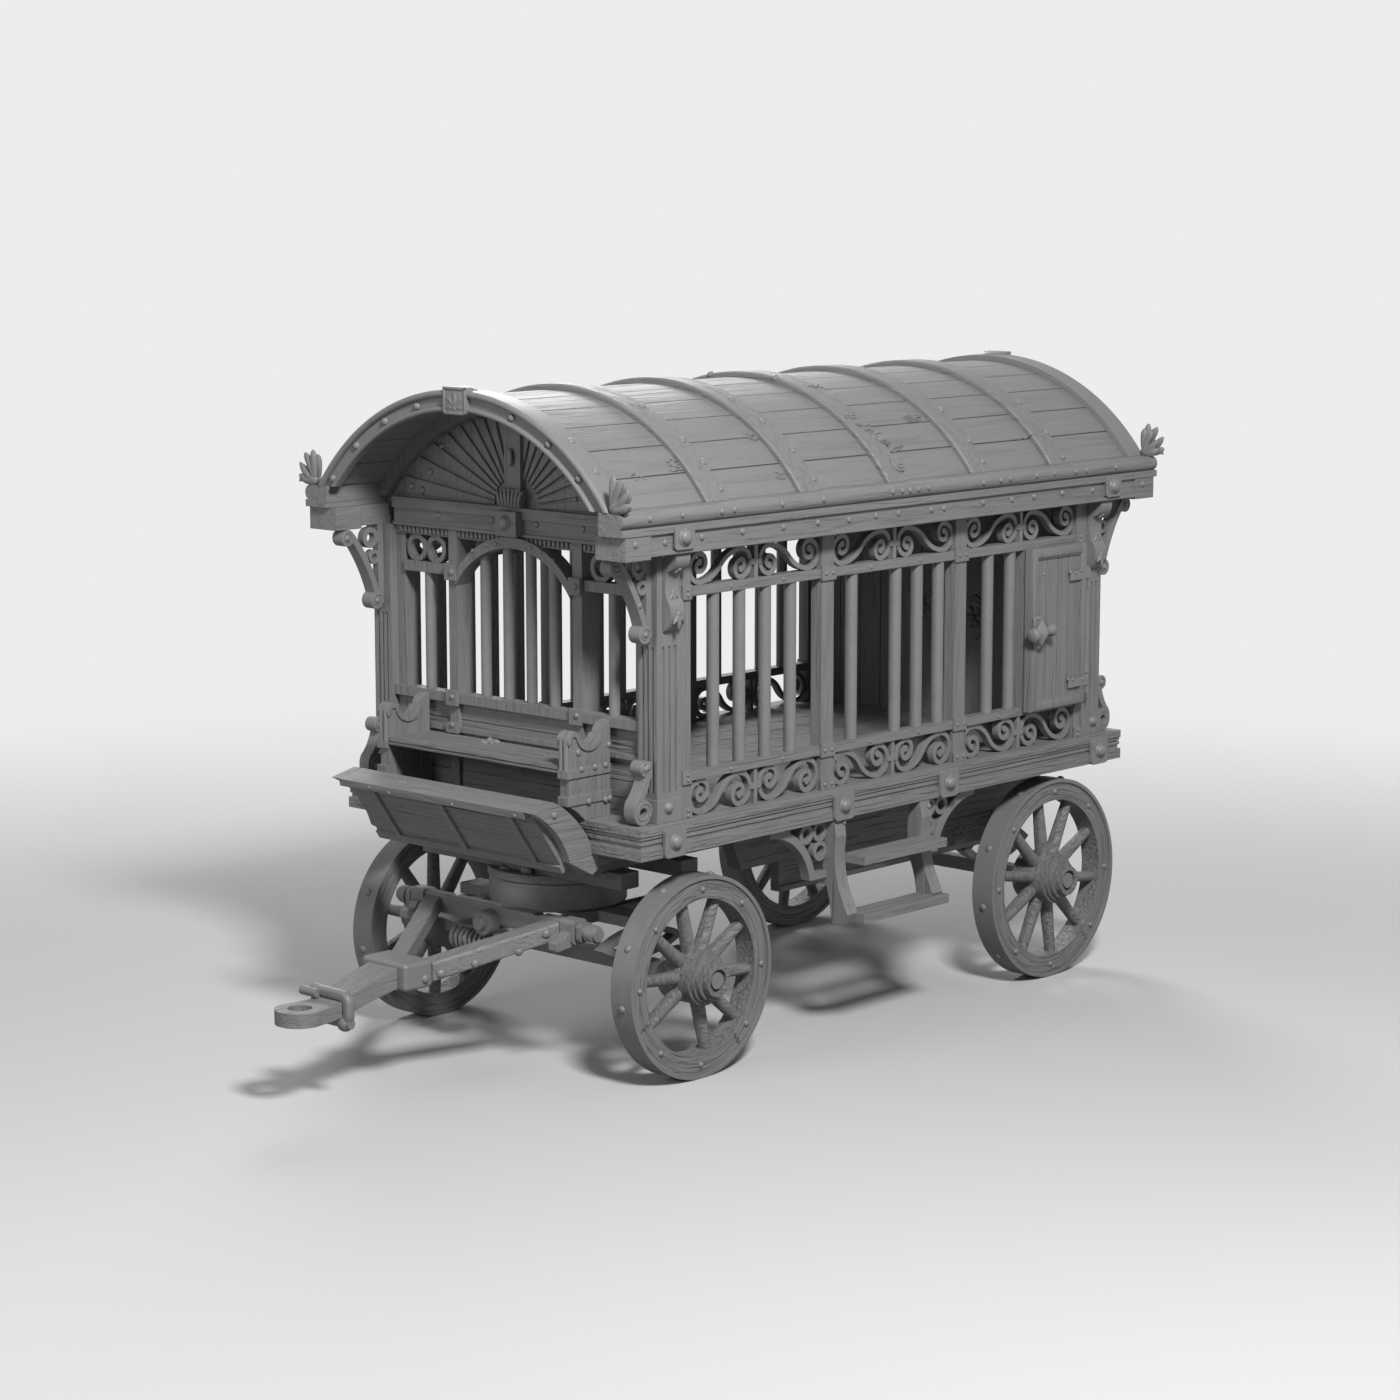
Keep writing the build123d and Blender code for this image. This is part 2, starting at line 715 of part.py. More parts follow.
# Columns: first bar's distance from the body's middle, pitch, count, number of the missing bar.
left_bars = [(-1335.0, 187.0, 4, None), (-308.0, 173.0, 5, 1), (800.0, 190.0, 2, None)]
right_bars = [(-1335.0, 187.0, 4, None), (-346.0, 173.0, 5, None), (775.0, 187.0, 4, None)]
with BuildPart() as side_bars:
    for side, bars in [(-1, left_bars), (1, right_bars)]:
        for first, pitch, count, missing in bars:
            for number in range(count):
                if number == missing:
                    continue
                with BuildSketch(Plane.XY.offset(lower_rail_top)):
                    with Locations((mid_x + first + number * pitch, side * bar_y)):
                        Circle(bar_radius)
                extrude(amount=upper_rail_bottom - lower_rail_top)
save(side_bars, "side_bars")

# Scroll friezes: flat iron bars bent into S-scrolls, two beside the clasp of each bay.
scroll_bar = 24.0
scroll_depth = 40.0
clasp_width = 24.0
clasp_depth = 52.0


def draw_scroll(centre_x, hand, outer_high, half_bay, low, high):
    """One S-scroll with a volute at each end; the outer volute is high or low in the bay."""
    ring = (high - low - scroll_bar) / 2 + 0.5
    coil = ring * 0.62
    tip = ring * 0.33
    rise = 1 if outer_high else -1
    outer_x = half_bay - ring - scroll_bar / 2 + 0.5
    inner_x = ring + scroll_bar + clasp_width / 2 - 2
    run = (outer_x - inner_x) / 2
    slope = atan2(ring, run)
    bend = sqrt(run**2 + ring**2) / (2 * sin(slope))
    sag_x = bend * sin(slope)
    sag_z = bend * (1 - cos(slope))

    def at(x, z):
        return (centre_x + hand * x, (low + high) / 2 + rise * z)

    crossing = at((outer_x + inner_x) / 2, 0)
    outer_end = ring - 2 * coil
    high_tip = outer_end + 2 * tip
    with BuildLine() as route:
        ThreePointArc(at(outer_x, high_tip), at(outer_x + tip, outer_end + tip), at(outer_x, outer_end))
        ThreePointArc(at(outer_x, outer_end), at(outer_x - coil, ring - coil), at(outer_x, ring))
        ThreePointArc(at(outer_x, ring), at(outer_x + ring, 0), at(outer_x, -ring))
        ThreePointArc(at(outer_x, -ring), at(outer_x - sag_x, -ring + sag_z), crossing)
        ThreePointArc(crossing, at(inner_x + sag_x, ring - sag_z), at(inner_x, ring))
        ThreePointArc(at(inner_x, ring), at(inner_x - ring, 0), at(inner_x, -ring))
        ThreePointArc(at(inner_x, -ring), at(inner_x + coil, coil - ring), at(inner_x, -outer_end))
        ThreePointArc(at(inner_x, -outer_end), at(inner_x - tip, -outer_end - tip), at(inner_x, -high_tip))
    trace(route.line, line_width=scroll_bar)
    with Locations(at(outer_x, high_tip), at(inner_x, -high_tip)):
        Circle(scroll_bar * 0.7)


# Columns: outer volute of the front scroll high, of the rear scroll high, for each bay from the front.
lower_turns = [(True, False), (False, False), (False, True)]
upper_turns = [(True, True), (True, True), (True, True)]
frieze_bands = [
    (sill_top, lower_rail_bottom, lower_turns),
    (upper_rail_top, head_rail_bottom, upper_turns),
]
with BuildPart() as scroll_friezes:
    for low, high, turns in frieze_bands:
        for side in (-1, 1):
            for (low_x, high_x), (front_high, rear_high) in zip(bay_edges, turns):
                centre_x = (low_x + high_x) / 2
                half_bay = (high_x - low_x) / 2
                with BuildSketch(xz_plane(side * bar_y + scroll_depth / 2)):
                    draw_scroll(centre_x, -1, front_high, half_bay, low, high)
                    draw_scroll(centre_x, 1, rear_high, half_bay, low, high)
                    with Locations((centre_x, (low + high) / 2)):
                        Rectangle(2 * half_bay, high - low, mode=Mode.INTERSECT)
                extrude(amount=scroll_depth)
                with BuildSketch(xz_plane(side * bar_y + clasp_depth / 2)):
                    with Locations((centre_x, (low + high) / 2)):
                        Rectangle(clasp_width, high - low)
                        Rectangle(clasp_width + 2 * scroll_bar + 12, 30)
                extrude(amount=clasp_depth)
save(scroll_friezes, "scroll_friezes")

# Door: a box frame in the bay, a planked leaf on two pintles, straps and a turn latch.
leaf_inner_y = -1004.0
leaf_outer_y = -1050.0
jamb_width = 40.0
with BuildPart() as door_frame:
    block(door_front_x, door_rear_x, leaf_inner_y + 6, -rail_inner_y, lower_rail_top, upper_rail_bottom)
    cut_block(
        door_front_x + jamb_width,
        door_rear_x - jamb_width,
        leaf_inner_y,
        -rail_inner_y + 10,
        lower_rail_top + 30,
        upper_rail_bottom - 30,
    )
save(door_frame, "door_frame")

hinge_axis_x = mid_x + 1560
hinge_axis_y = -1040.0
pintle_radius = 9.0
eye_outer_radius = 17.0
eye_height = 60.0
strap_heights = [1620.0, 2200.0]
leaf_rear_x = door_rear_x + 8
with BuildPart() as door_leaf:
    block(door_front_x - 12, leaf_rear_x, leaf_outer_y + 10, leaf_inner_y, door_bottom, door_top)
    # A raised border round the planks.
    block(door_front_x - 12, leaf_rear_x, leaf_outer_y, leaf_outer_y + 10, door_bottom, door_top)
    cut_block(
        door_front_x + 38, leaf_rear_x - 50, leaf_outer_y, leaf_outer_y + 10, door_bottom + 60, door_top - 60
    )
    for number in range(1, 4):
        seam_x = door_front_x + 38 + number * (leaf_rear_x - door_front_x - 88) / 4
        cut_block(seam_x - 3, seam_x + 3, leaf_outer_y + 10, leaf_outer_y + 16, door_bottom + 60, door_top - 60)
save(door_leaf, "door_leaf")

with BuildPart() as door_straps:
    for height in strap_heights:
        block(leaf_rear_x - 150, hinge_axis_x, leaf_outer_y - 8, leaf_outer_y, height - 24, height + 24)
        with BuildSketch(Plane.XY.offset(height - eye_height / 2)):
            with Locations((hinge_axis_x, hinge_axis_y)):
                Circle(eye_outer_radius)
        extrude(amount=eye_height)
        with BuildSketch(Plane.XY.offset(height - eye_height / 2)):
            with Locations((hinge_axis_x, hinge_axis_y)):
                Circle(pintle_radius + running_clearance)
        extrude(amount=eye_height, mode=Mode.SUBTRACT)
save(door_straps, "door_straps")

with BuildPart() as door_pintles:
    for height in strap_heights:
        ledge = height - eye_height / 2
        block(
            hinge_axis_x - 15,
            hinge_axis_x + 15,
            hinge_axis_y - 15,
            -post_outer_y,
            ledge - 40,
            ledge - 0.3,
        )
        with BuildSketch(Plane.XY.offset(ledge - 0.3)):
            with Locations((hinge_axis_x, hinge_axis_y)):
                Circle(pintle_radius)
        extrude(amount=eye_height + 8)
save(door_pintles, "door_pintles")

latch_x = door_front_x + 30
latch_z = 1930.0
with BuildPart() as door_latch:
    with BuildSketch(xz_plane(leaf_outer_y)):
        with Locations((latch_x, latch_z)):
            Circle(52.0)
    extrude(amount=16)
    with BuildSketch(xz_plane(leaf_outer_y - 16)):
        with Locations((latch_x, latch_z)):
            Circle(24.0)
    extrude(amount=30)
    with BuildSketch(xz_plane(leaf_outer_y - 46)):
        with Locations((latch_x, latch_z)):
            with PolarLocations(46, 4, start_angle=20):
                Circle(24.0)
            Circle(40.0)
    extrude(amount=34)
save(door_latch, "door_latch")

# Wall plates that carry the roof, with a lip along the foot and a box at each end.
lip_depth = 12.0
end_box_length = 170.0
end_box_bottom = fascia_bottom - 12
with BuildPart() as fascia_beams:
    for side in (-1, 1):
        low_y, high_y = sorted((side * fascia_outer_y, side * (fascia_outer_y - fascia_width)))
        block(
            mid_x - half_fascia_length,
            mid_x + half_fascia_length,
            low_y,
            high_y,
            fascia_bottom,
            fascia_top,
        )
        lip_low, lip_high = sorted((side * fascia_outer_y, side * (fascia_outer_y + lip_depth)))
        block(
            mid_x - half_fascia_length,
            mid_x + half_fascia_length,
            lip_low,
            lip_high,
            fascia_bottom,
            fascia_bottom + 18,
        )
        for end in (-1, 1):
            tip_x = mid_x + end * half_fascia_length
            low_x, high_x = sorted((tip_x, tip_x - end * end_box_length))
            box_low, box_high = sorted(
                (side * (fascia_outer_y + lip_depth), side * (fascia_outer_y - fascia_width - lip_depth))
            )
            block(low_x, high_x, box_low, box_high, end_box_bottom, fascia_top)
save(fascia_beams, "fascia_beams")

eave_half_length = half_fascia_length + 24
with BuildPart() as eave_rails:
    for side in (-1, 1):
        with BuildSketch(yz_plane(mid_x - eave_half_length)):
            with BuildLine():
                Polyline(
                    (side * (arch_half_width - 90), eave_top),
                    (side * (arch_half_width - 90), fascia_top),
                    (side * (fascia_outer_y + 16), fascia_top),
                    (side * (fascia_outer_y + 16), moulding_top),
                    (side * (fascia_outer_y - 6), moulding_top),
                )
                ThreePointArc(
                    (side * (fascia_outer_y - 6), moulding_top),
                    (side * (fascia_outer_y + 18), (moulding_top + eave_top) / 2),
                    (side * (fascia_outer_y - 20), eave_top),
                )
                Line((side * (fascia_outer_y - 20), eave_top), (side * (arch_half_width - 90), eave_top))
            make_face()
        extrude(amount=2 * eave_half_length)
save(eave_rails, "eave_rails")


def arch_band(outer, inner, floor_z):
    """The area between two arcs about the roof's centre, above a level."""
    with Locations((0, arch_centre_z)):
        Circle(outer)
        Circle(inner, mode=Mode.SUBTRACT)
    with Locations((0, floor_z - 1500)):
        Rectangle(4000, 3000, mode=Mode.SUBTRACT)


shell_outer = arch_radius - rib_depth
shell_inner = shell_outer - roof_thickness
plank_angle = 9.0
half_vault_length = half_fascia_length - 20
roof_axis = Axis((0, 0, arch_centre_z), (1, 0, 0))
with BuildPart() as roof_planks:
    with BuildSketch(yz_plane(mid_x - half_vault_length)):
        arch_band(shell_outer, shell_inner, eave_top)
        # Open seams between the planks, outside and inside.
        with Locations((0, arch_centre_z)):
            for number in range(-5, 6):
                seam_angle = 90 + number * plank_angle
                with PolarLocations(shell_outer, 1, start_angle=seam_angle):
                    Rectangle(16, 7, mode=Mode.SUBTRACT)
                with PolarLocations(shell_inner, 1, start_angle=seam_angle):
                    Rectangle(10, 5, mode=Mode.SUBTRACT)
    extrude(amount=2 * half_vault_length)
save(roof_planks, "roof_planks")

# Ribs: bent timbers with chamfered edges over the planks.
rib_chamfer = 9.0
with BuildPart() as roof_ribs:
    with BuildSketch(xz_plane(0)):
        for number in range(5):
            rib_x = mid_x + (number - 2) * rib_pitch
            with BuildLine():
                Polyline(
                    (rib_x - rib_width / 2, arch_centre_z + shell_outer),
                    (rib_x - rib_width / 2, arch_peak_z - rib_chamfer),
                    (rib_x - rib_width / 2 + rib_chamfer, arch_peak_z),
                    (rib_x + rib_width / 2 - rib_chamfer, arch_peak_z),
                    (rib_x + rib_width / 2, arch_peak_z - rib_chamfer),
                    (rib_x + rib_width / 2, arch_centre_z + shell_outer),
                    close=True,
                )
            make_face()
    revolve(axis=roof_axis)
    cut_block(-4000, 4000, -2000, 2000, 0, eave_top)
save(roof_ribs, "roof_ribs")

# End arches: a band over the last planks and a face with a bead along each edge.
end_band_length = 110.0
end_band_depth = 100.0
end_face_thickness = 34.0
bead_depth = 16.0
crown_depth = 12.0
with BuildPart() as end_arches:
    with BuildSketch(xz_plane(0)):
        for end in (-1, 1):
            # Columns below: distance outward from the end of the planks, radius.
            face_x = mid_x + end * half_vault_length
            outer_r = arch_radius + 4
            inner_r = arch_radius - end_band_depth

            def at(out, radius):
                return (face_x + end * out, arch_centre_z + radius)

            with BuildLine():
                Line(at(20 - end_band_length, shell_outer), at(0, shell_outer))
                Line(at(0, shell_outer), at(0, inner_r))
                Line(at(0, inner_r), at(end_face_thickness, inner_r))
                ThreePointArc(
                    at(end_face_thickness, inner_r),
                    at(end_face_thickness + 13, inner_r + 13),
                    at(end_face_thickness, inner_r + 26),
                )
                Line(at(end_face_thickness, inner_r + 26), at(end_face_thickness - 8, inner_r + 26))
                Line(at(end_face_thickness - 8, inner_r + 26), at(end_face_thickness - 8, outer_r - 34))
                Line(at(end_face_thickness - 8, outer_r - 34), at(end_face_thickness, outer_r - 34))
                ThreePointArc(
                    at(end_face_thickness, outer_r - 34),
                    at(end_face_thickness + bead_depth, outer_r - 17),
                    at(end_face_thickness, outer_r),
                )
                Line(at(end_face_thickness, outer_r), at(0, outer_r))
                Line(at(0, outer_r), at(20 - end_band_length, arch_radius))
                Line(at(20 - end_band_length, arch_radius), at(20 - end_band_length, shell_outer))
            make_face()
    revolve(axis=roof_axis)
    cut_block(-4000, 4000, -2000, 2000, 0, eave_top)
save(end_arches, "end_arches")

# Carved key blocks at the crowns and leaf ornaments at the four corners of the roof.
leaf_root_y = fascia_outer_y - 72
leaf_thickness = 62.0
with BuildPart() as roof_carvings:
    for end in (-1, 1):
        face_x = mid_x + end * (half_vault_length + end_face_thickness - 8)
        low_x, high_x = sorted((face_x, mid_x + end * (half_fascia_length + leaf_overhang - 2)))
        block(low_x, high_x, -62, 62, arch_peak_z - 118, arch_peak_z + 22)
    add(end_arches.part, mode=Mode.SUBTRACT)
    for end in (-1, 1):
        for side in (-1, 1):
            leaf_x = mid_x + end * (half_fascia_length + leaf_overhang)
            start = min(leaf_x, leaf_x - end * leaf_thickness)
            reach = leaf_reach_y - leaf_root_y

            def at(part_of_reach, height):
                return (side * (leaf_root_y + part_of_reach * reach), eave_top + height)

            with BuildSketch(yz_plane(start)):
                with BuildLine():
                    Line(at(0, 0), at(0.56, 0))
                    ThreePointArc(at(0.56, 0), at(0.80, 10), at(1.0, 46))
                    ThreePointArc(at(1.0, 46), at(0.80, 44), at(0.66, 62))
                    ThreePointArc(at(0.66, 62), at(0.82, 76), at(0.90, 112))
                    ThreePointArc(at(0.90, 112), at(0.70, 98), at(0.55, 106))
                    ThreePointArc(at(0.55, 106), at(0.64, 134), at(0.62, 168))
                    ThreePointArc(at(0.62, 168), at(0.44, 138), at(0.30, 132))
                    ThreePointArc(at(0.30, 132), at(0.32, 156), at(0.24, 186))
                    ThreePointArc(at(0.24, 186), at(0.08, 150), at(0, 110))
                    Line(at(0, 110), at(0, 0))
                make_face()
            extrude(amount=leaf_thickness)
            with BuildSketch(yz_plane(start)):
                with Locations(at(0.30, 34)):
                    Circle(30)
            extrude(amount=leaf_thickness)
    add(end_arches.part, mode=Mode.SUBTRACT)
save(roof_carvings, "roof_carvings")

# Front wall behind the driver's bench, in the plane of the front posts.
wall_front_x = front_axle_x - 290
wall_depth = 120.0
wall_post_y = 432.0
wall_post_half = 32.0
wall_half_width = post_outer_y - post_width
wall_edge_y = wall_half_width - 60
lintel_foot = 2547.0
lintel_bottom = 2590.0
lintel_head = 2731.0
front_rail_bottom = 2361.0
front_rail_top = 2413.0
parapet_rail_bottom = 1725.0
parapet_top = 1775.0
front_arch_foot_y = 400.0
front_arch_outer_foot = 2385.0
front_arch_outer_crown = 2586.0
front_arch_inner_foot = 2318.0
front_arch_inner_crown = 2531.0
ring_outer = 71.0
ring_inner = 45.0
with BuildPart() as front_posts:
    for side in (-1, 1):
        low_y, high_y = sorted((side * (wall_post_y - wall_post_half), side * (wall_post_y + wall_post_half)))
        block(wall_front_x, wall_front_x + wall_depth, low_y, high_y, sill_top, lintel_bottom)
        # Collars where the posts cross the rails and where the arch stands.
        for low_z, high_z in [(1574.0, 1624.0), (parapet_rail_bottom - 14, parapet_top + 14), (2340.0, 2424.0)]:
            block(wall_front_x - 24, wall_front_x, low_y - 8, high_y + 8, low_z, high_z)
        low_y, high_y = sorted((side * wall_edge_y, side * wall_half_width))
        block(wall_front_x + 20, wall_front_x + wall_depth, low_y, high_y, sill_top, lintel_bottom)

with BuildPart() as front_lintel:
    # A beam with a moulding over it and a set-back one under it, and a block in the middle.
    block(wall_front_x, wall_front_x + wall_depth, -wall_half_width, wall_half_width, lintel_bottom, fascia_top)
    block(wall_front_x - 14, wall_front_x + 30, -wall_half_width, wall_half_width, fascia_top, lintel_head)
    block(wall_front_x - 14, wall_front_x, -wall_half_width, wall_half_width, fascia_top - 14, fascia_top)
    block(wall_front_x - 10, wall_front_x, -wall_half_width, wall_half_width, lintel_bottom, lintel_bottom + 15)
    block(wall_front_x + 12, wall_front_x + 100, -wall_half_width, wall_half_width, lintel_foot, lintel_bottom)
    block(wall_front_x - 55, wall_front_x, -72, 72, lintel_bottom + 3, lintel_head - 16)
    add(front_posts.part, mode=Mode.SUBTRACT)

with BuildPart() as front_rails:
    for side in (-1, 1):
        low_y, high_y = sorted((side * (wall_post_y + wall_post_half), side * wall_edge_y))
        block(wall_front_x + 6, wall_front_x + 70, low_y, high_y, front_rail_bottom, front_rail_top)
    block(
        wall_front_x - 12, wall_front_x + 60, -wall_half_width, wall_half_width, parapet_rail_bottom, parapet_top
    )
    block(wall_front_x - 2, wall_front_x + 20, -wall_half_width, wall_half_width, 1578, 1606)
    add(front_posts.part, mode=Mode.SUBTRACT)

with BuildPart() as front_arch:
    with BuildSketch(yz_plane(wall_front_x - 16)):
        with BuildLine():
            ThreePointArc(
                (-front_arch_foot_y, front_arch_outer_foot),
                (0, front_arch_outer_crown),
                (front_arch_foot_y, front_arch_outer_foot),
            )
            Line((front_arch_foot_y, front_arch_outer_foot), (front_arch_foot_y, front_arch_inner_foot))
            ThreePointArc(
                (front_arch_foot_y, front_arch_inner_foot),
                (0, front_arch_inner_crown),
                (-front_arch_foot_y, front_arch_inner_foot),
            )
            Line((-front_arch_foot_y, front_arch_inner_foot), (-front_arch_foot_y, front_arch_outer_foot))
        make_face()
    extrude(amount=86)
    add(front_posts.part, mode=Mode.SUBTRACT)

# Two rings a side stand between the side rail and the lintel.
with BuildPart() as front_rings:
    with BuildSketch(yz_plane(wall_front_x + 18)):
        for side in (-1, 1):
            for ring_y in (573.0, 714.0):
                with Locations((side * ring_y, (front_rail_top + lintel_foot) / 2)):
                    Circle(ring_outer)
        for side in (-1, 1):
            for ring_y in (573.0, 714.0):
                with Locations((side * ring_y, (front_rail_top + lintel_foot) / 2)):
                    Circle(ring_inner, mode=Mode.SUBTRACT)
        with Locations((0, (front_rail_top + lintel_foot) / 2)):
            Rectangle(2000, lintel_foot - front_rail_top, mode=Mode.INTERSECT)
    extrude(amount=44)

with BuildPart() as lintel_over_arch:
    add(front_lintel.part)
    add(front_arch.part, mode=Mode.SUBTRACT)
save_set([front_posts, lintel_over_arch, front_rails, front_arch, front_rings], "front_frame")

with BuildPart() as front_parapet:
    block(
        wall_front_x + 20, wall_front_x + 56, -wall_edge_y, wall_edge_y, sill_top, parapet_rail_bottom
    )
    for side in (-1, 1):
        low_y, high_y = sorted((side * (wall_post_y - wall_post_half), side * (wall_post_y + wall_post_half)))
        cut_block(wall_front_x, wall_front_x + wall_depth, low_y, high_y, sill_top, parapet_top)
    for number in range(1, 5):
        seam_z = sill_top + number * 85
        cut_block(wall_front_x + 20, wall_front_x + 26, -900, 900, seam_z - 3, seam_z + 3)
save(front_parapet, "front_parapet")

front_bar_radius = 27.0
with BuildPart() as bars_front:
    for bar_place in (-640.0, -240.0, -80.0, 80.0, 240.0, 640.0):
        top_z = front_rail_bottom if abs(bar_place) > wall_post_y else front_arch_inner_crown + 9
        with BuildSketch(Plane.XY.offset(parapet_top)):
            with Locations((wall_front_x + 40, bar_place)):
                Circle(front_bar_radius)
        extrude(amount=top_z - parapet_top)
    # The middle bars end at the underside of the arch band.
    with BuildSketch(yz_plane(wall_front_x)):
        with BuildLine():
            ThreePointArc(
                (-front_arch_foot_y, front_arch_inner_foot),
                (0, front_arch_inner_crown),
                (front_arch_foot_y, front_arch_inner_foot),
            )
            Polyline(
                (front_arch_foot_y, front_arch_inner_foot),
                (front_arch_foot_y, lintel_head),
                (-front_arch_foot_y, lintel_head),
                (-front_arch_foot_y, front_arch_inner_foot),
            )
        make_face()
    extrude(amount=wall_depth, mode=Mode.SUBTRACT)
save(bars_front, "bars_front")

# Tympanum: planks that fan out from the lintel's middle, under an arch rib, beside a post.
tympanum_thickness = 40.0
fan_depth = 14.0
fan_count = 9
fan_gap = 3.0
inner_rib_depth = 62.0
eave_inner_y = arch_half_width - 90
with BuildPart() as front_tympanum:
    with BuildSketch(yz_plane(wall_front_x + 30)):
        with Locations((0, arch_centre_z)):
            Circle(shell_inner)
        with Locations((0, fascia_top - 1500)):
            Rectangle(4000, 3000, mode=Mode.SUBTRACT)
        for side in (-1, 1):
            with Locations((side * (eave_inner_y + 500), eave_top - 500)):
                Rectangle(1000, 1000, mode=Mode.SUBTRACT)
    extrude(amount=tympanum_thickness)
    with BuildSketch(yz_plane(wall_front_x + 30)):
        for side in (-1, 1):
            for number in range(fan_count):
                low_angle = number * 82 / fan_count + fan_gap / 2
                high_angle = (number + 1) * 82 / fan_count - fan_gap / 2
                with BuildLine():
                    Polyline(
                        (side * 150 * cos(radians(low_angle)), lintel_head + 150 * sin(radians(low_angle))),
                        (side * 1300 * cos(radians(low_angle)), lintel_head + 1300 * sin(radians(low_angle))),
                        (side * 1300 * cos(radians(high_angle)), lintel_head + 1300 * sin(radians(high_angle))),
                        (side * 150 * cos(radians(high_angle)), lintel_head + 150 * sin(radians(high_angle))),
                        close=True,
                    )
                make_face()
        with Locations((0, arch_centre_z)):
            Circle(shell_inner - inner_rib_depth - 16, mode=Mode.INTERSECT)
    extrude(amount=-fan_depth)
    # The rib under the planks of the roof.
    with BuildSketch(yz_plane(wall_front_x + 30)):
        with Locations((0, arch_centre_z)):
            Circle(shell_inner)
            Circle(shell_inner - inner_rib_depth, mode=Mode.SUBTRACT)
        with Locations((0, lintel_head - 1500)):
            Rectangle(4000, 3000, mode=Mode.SUBTRACT)
        for side in (-1, 1):
            with Locations((side * (eave_inner_y + 500), eave_top - 500)):
                Rectangle(1000, 1000, mode=Mode.SUBTRACT)
    extrude(amount=-50)
    # The middle post with its foot.
    block(
        wall_front_x - 6, wall_front_x + 30, -56, 56, lintel_head, arch_centre_z + shell_inner - inner_rib_depth
    )
    block(wall_front_x - 24, wall_front_x + 30, -72, 72, lintel_head, lintel_head + 92)
save(front_tympanum, "front_tympanum")

# Rear wall: vertical planks in a frame, closed up to the roof.
rear_wall_x = mid_x + post_inner_x + 30
with BuildPart() as rear_wall:
    with BuildSketch(yz_plane(rear_wall_x)):
        with Locations((0, arch_centre_z)):
            Circle(shell_inner)
        with Locations((0, sill_top - 1500)):
            Rectangle(4000, 3000, mode=Mode.SUBTRACT)
        for side in (-1, 1):
            with Locations((side * (wall_half_width + 500), 2000)):
                Rectangle(1000, 4000, mode=Mode.SUBTRACT)
    extrude(amount=40)
    for number in range(-5, 6):
        seam_y = number * 150
        cut_block(rear_wall_x + 34, rear_wall_x + 40, seam_y - 3, seam_y + 3, sill_top, 3100)
        cut_block(rear_wall_x, rear_wall_x + 6, seam_y - 3, seam_y + 3, sill_top, 3100)
save(rear_wall, "rear_wall")

with BuildPart() as rear_tie:
    block(rear_wall_x + 40, rear_wall_x + 110, -wall_half_width, wall_half_width, lintel_bottom, fascia_top)
    block(rear_wall_x + 40, rear_wall_x + 90, -wall_half_width, wall_half_width, sill_top, sill_top + 110)
save(rear_tie, "rear_tie")

# Scroll brackets: curved arms under the fascia ends, consoles under the eaves beside them.
bracket_width = 70.0
console_width = 96.0
with BuildPart() as roof_brackets:
    for end in (-1, 1):
        for side in (-1, 1):
            post_face = mid_x + end * post_outer_x
            tip = mid_x + end * (half_fascia_length - 40)
            middle_y = side * (post_outer_y - 55)
            with BuildSketch(xz_plane(middle_y + bracket_width / 2)):
                with BuildLine() as arm:
                    ThreePointArc(
                        (post_face + end * 54, 2232),
                        (post_face + end * 118, 2388),
                        (tip - end * 62, end_box_bottom - 34),
                    )
                trace(arm.line, line_width=34)
                with Locations((post_face + end * 58, 2206)):
                    Circle(44)
                    Circle(13, mode=Mode.SUBTRACT)
                with Locations((tip - end * 34, end_box_bottom - 42)):
                    Circle(42)
                    Circle(12, mode=Mode.SUBTRACT)
            extrude(amount=bracket_width)
            # A narrower web of scrolls fills the corner behind the arm.
            with BuildSketch(xz_plane(middle_y + 20)):
                with BuildLine():
                    Polyline(
                        (post_face, 2180),
                        (post_face + end * 36, 2180),
                        (post_face + end * 36, fascia_bottom),
                        (post_face, fascia_bottom),
                        close=True,
                    )
                make_face()
                with Locations((post_face + end * 84, 2524)):
                    Circle(52)
                    Circle(26, mode=Mode.SUBTRACT)
                with Locations((post_face + end * 60, 2425)):
                    Circle(36)
                    Circle(16, mode=Mode.SUBTRACT)
            extrude(amount=40)
            # The console on the post's outer face: a swelling S with a roll at each end.
            post_middle = mid_x + end * (post_outer_x + post_inner_x) / 2
            with BuildSketch(yz_plane(post_middle - console_width / 2)):
                with BuildLine():
                    Line((side * post_outer_y, 2212), (side * post_outer_y, fascia_bottom))
                    Line((side * post_outer_y, fascia_bottom), (side * (post_outer_y + 84), fascia_bottom))
                    ThreePointArc(
                        (side * (post_outer_y + 84), fascia_bottom),
                        (side * (post_outer_y + 84), 2530),
                        (side * (post_outer_y + 34), 2500),
                    )
                    ThreePointArc(
                        (side * (post_outer_y + 34), 2500),
                        (side * (post_outer_y + 20), 2440),
                        (side * (post_outer_y + 30), 2370),
                    )
                    ThreePointArc(
                        (side * (post_outer_y + 30), 2370),
                        (side * (post_outer_y + 58), 2290),
                        (side * (post_outer_y + 26), 2222),
                    )
                    Line((side * (post_outer_y + 26), 2222), (side * post_outer_y, 2212))
                make_face()
            extrude(amount=console_width)
save(roof_brackets, "roof_brackets")

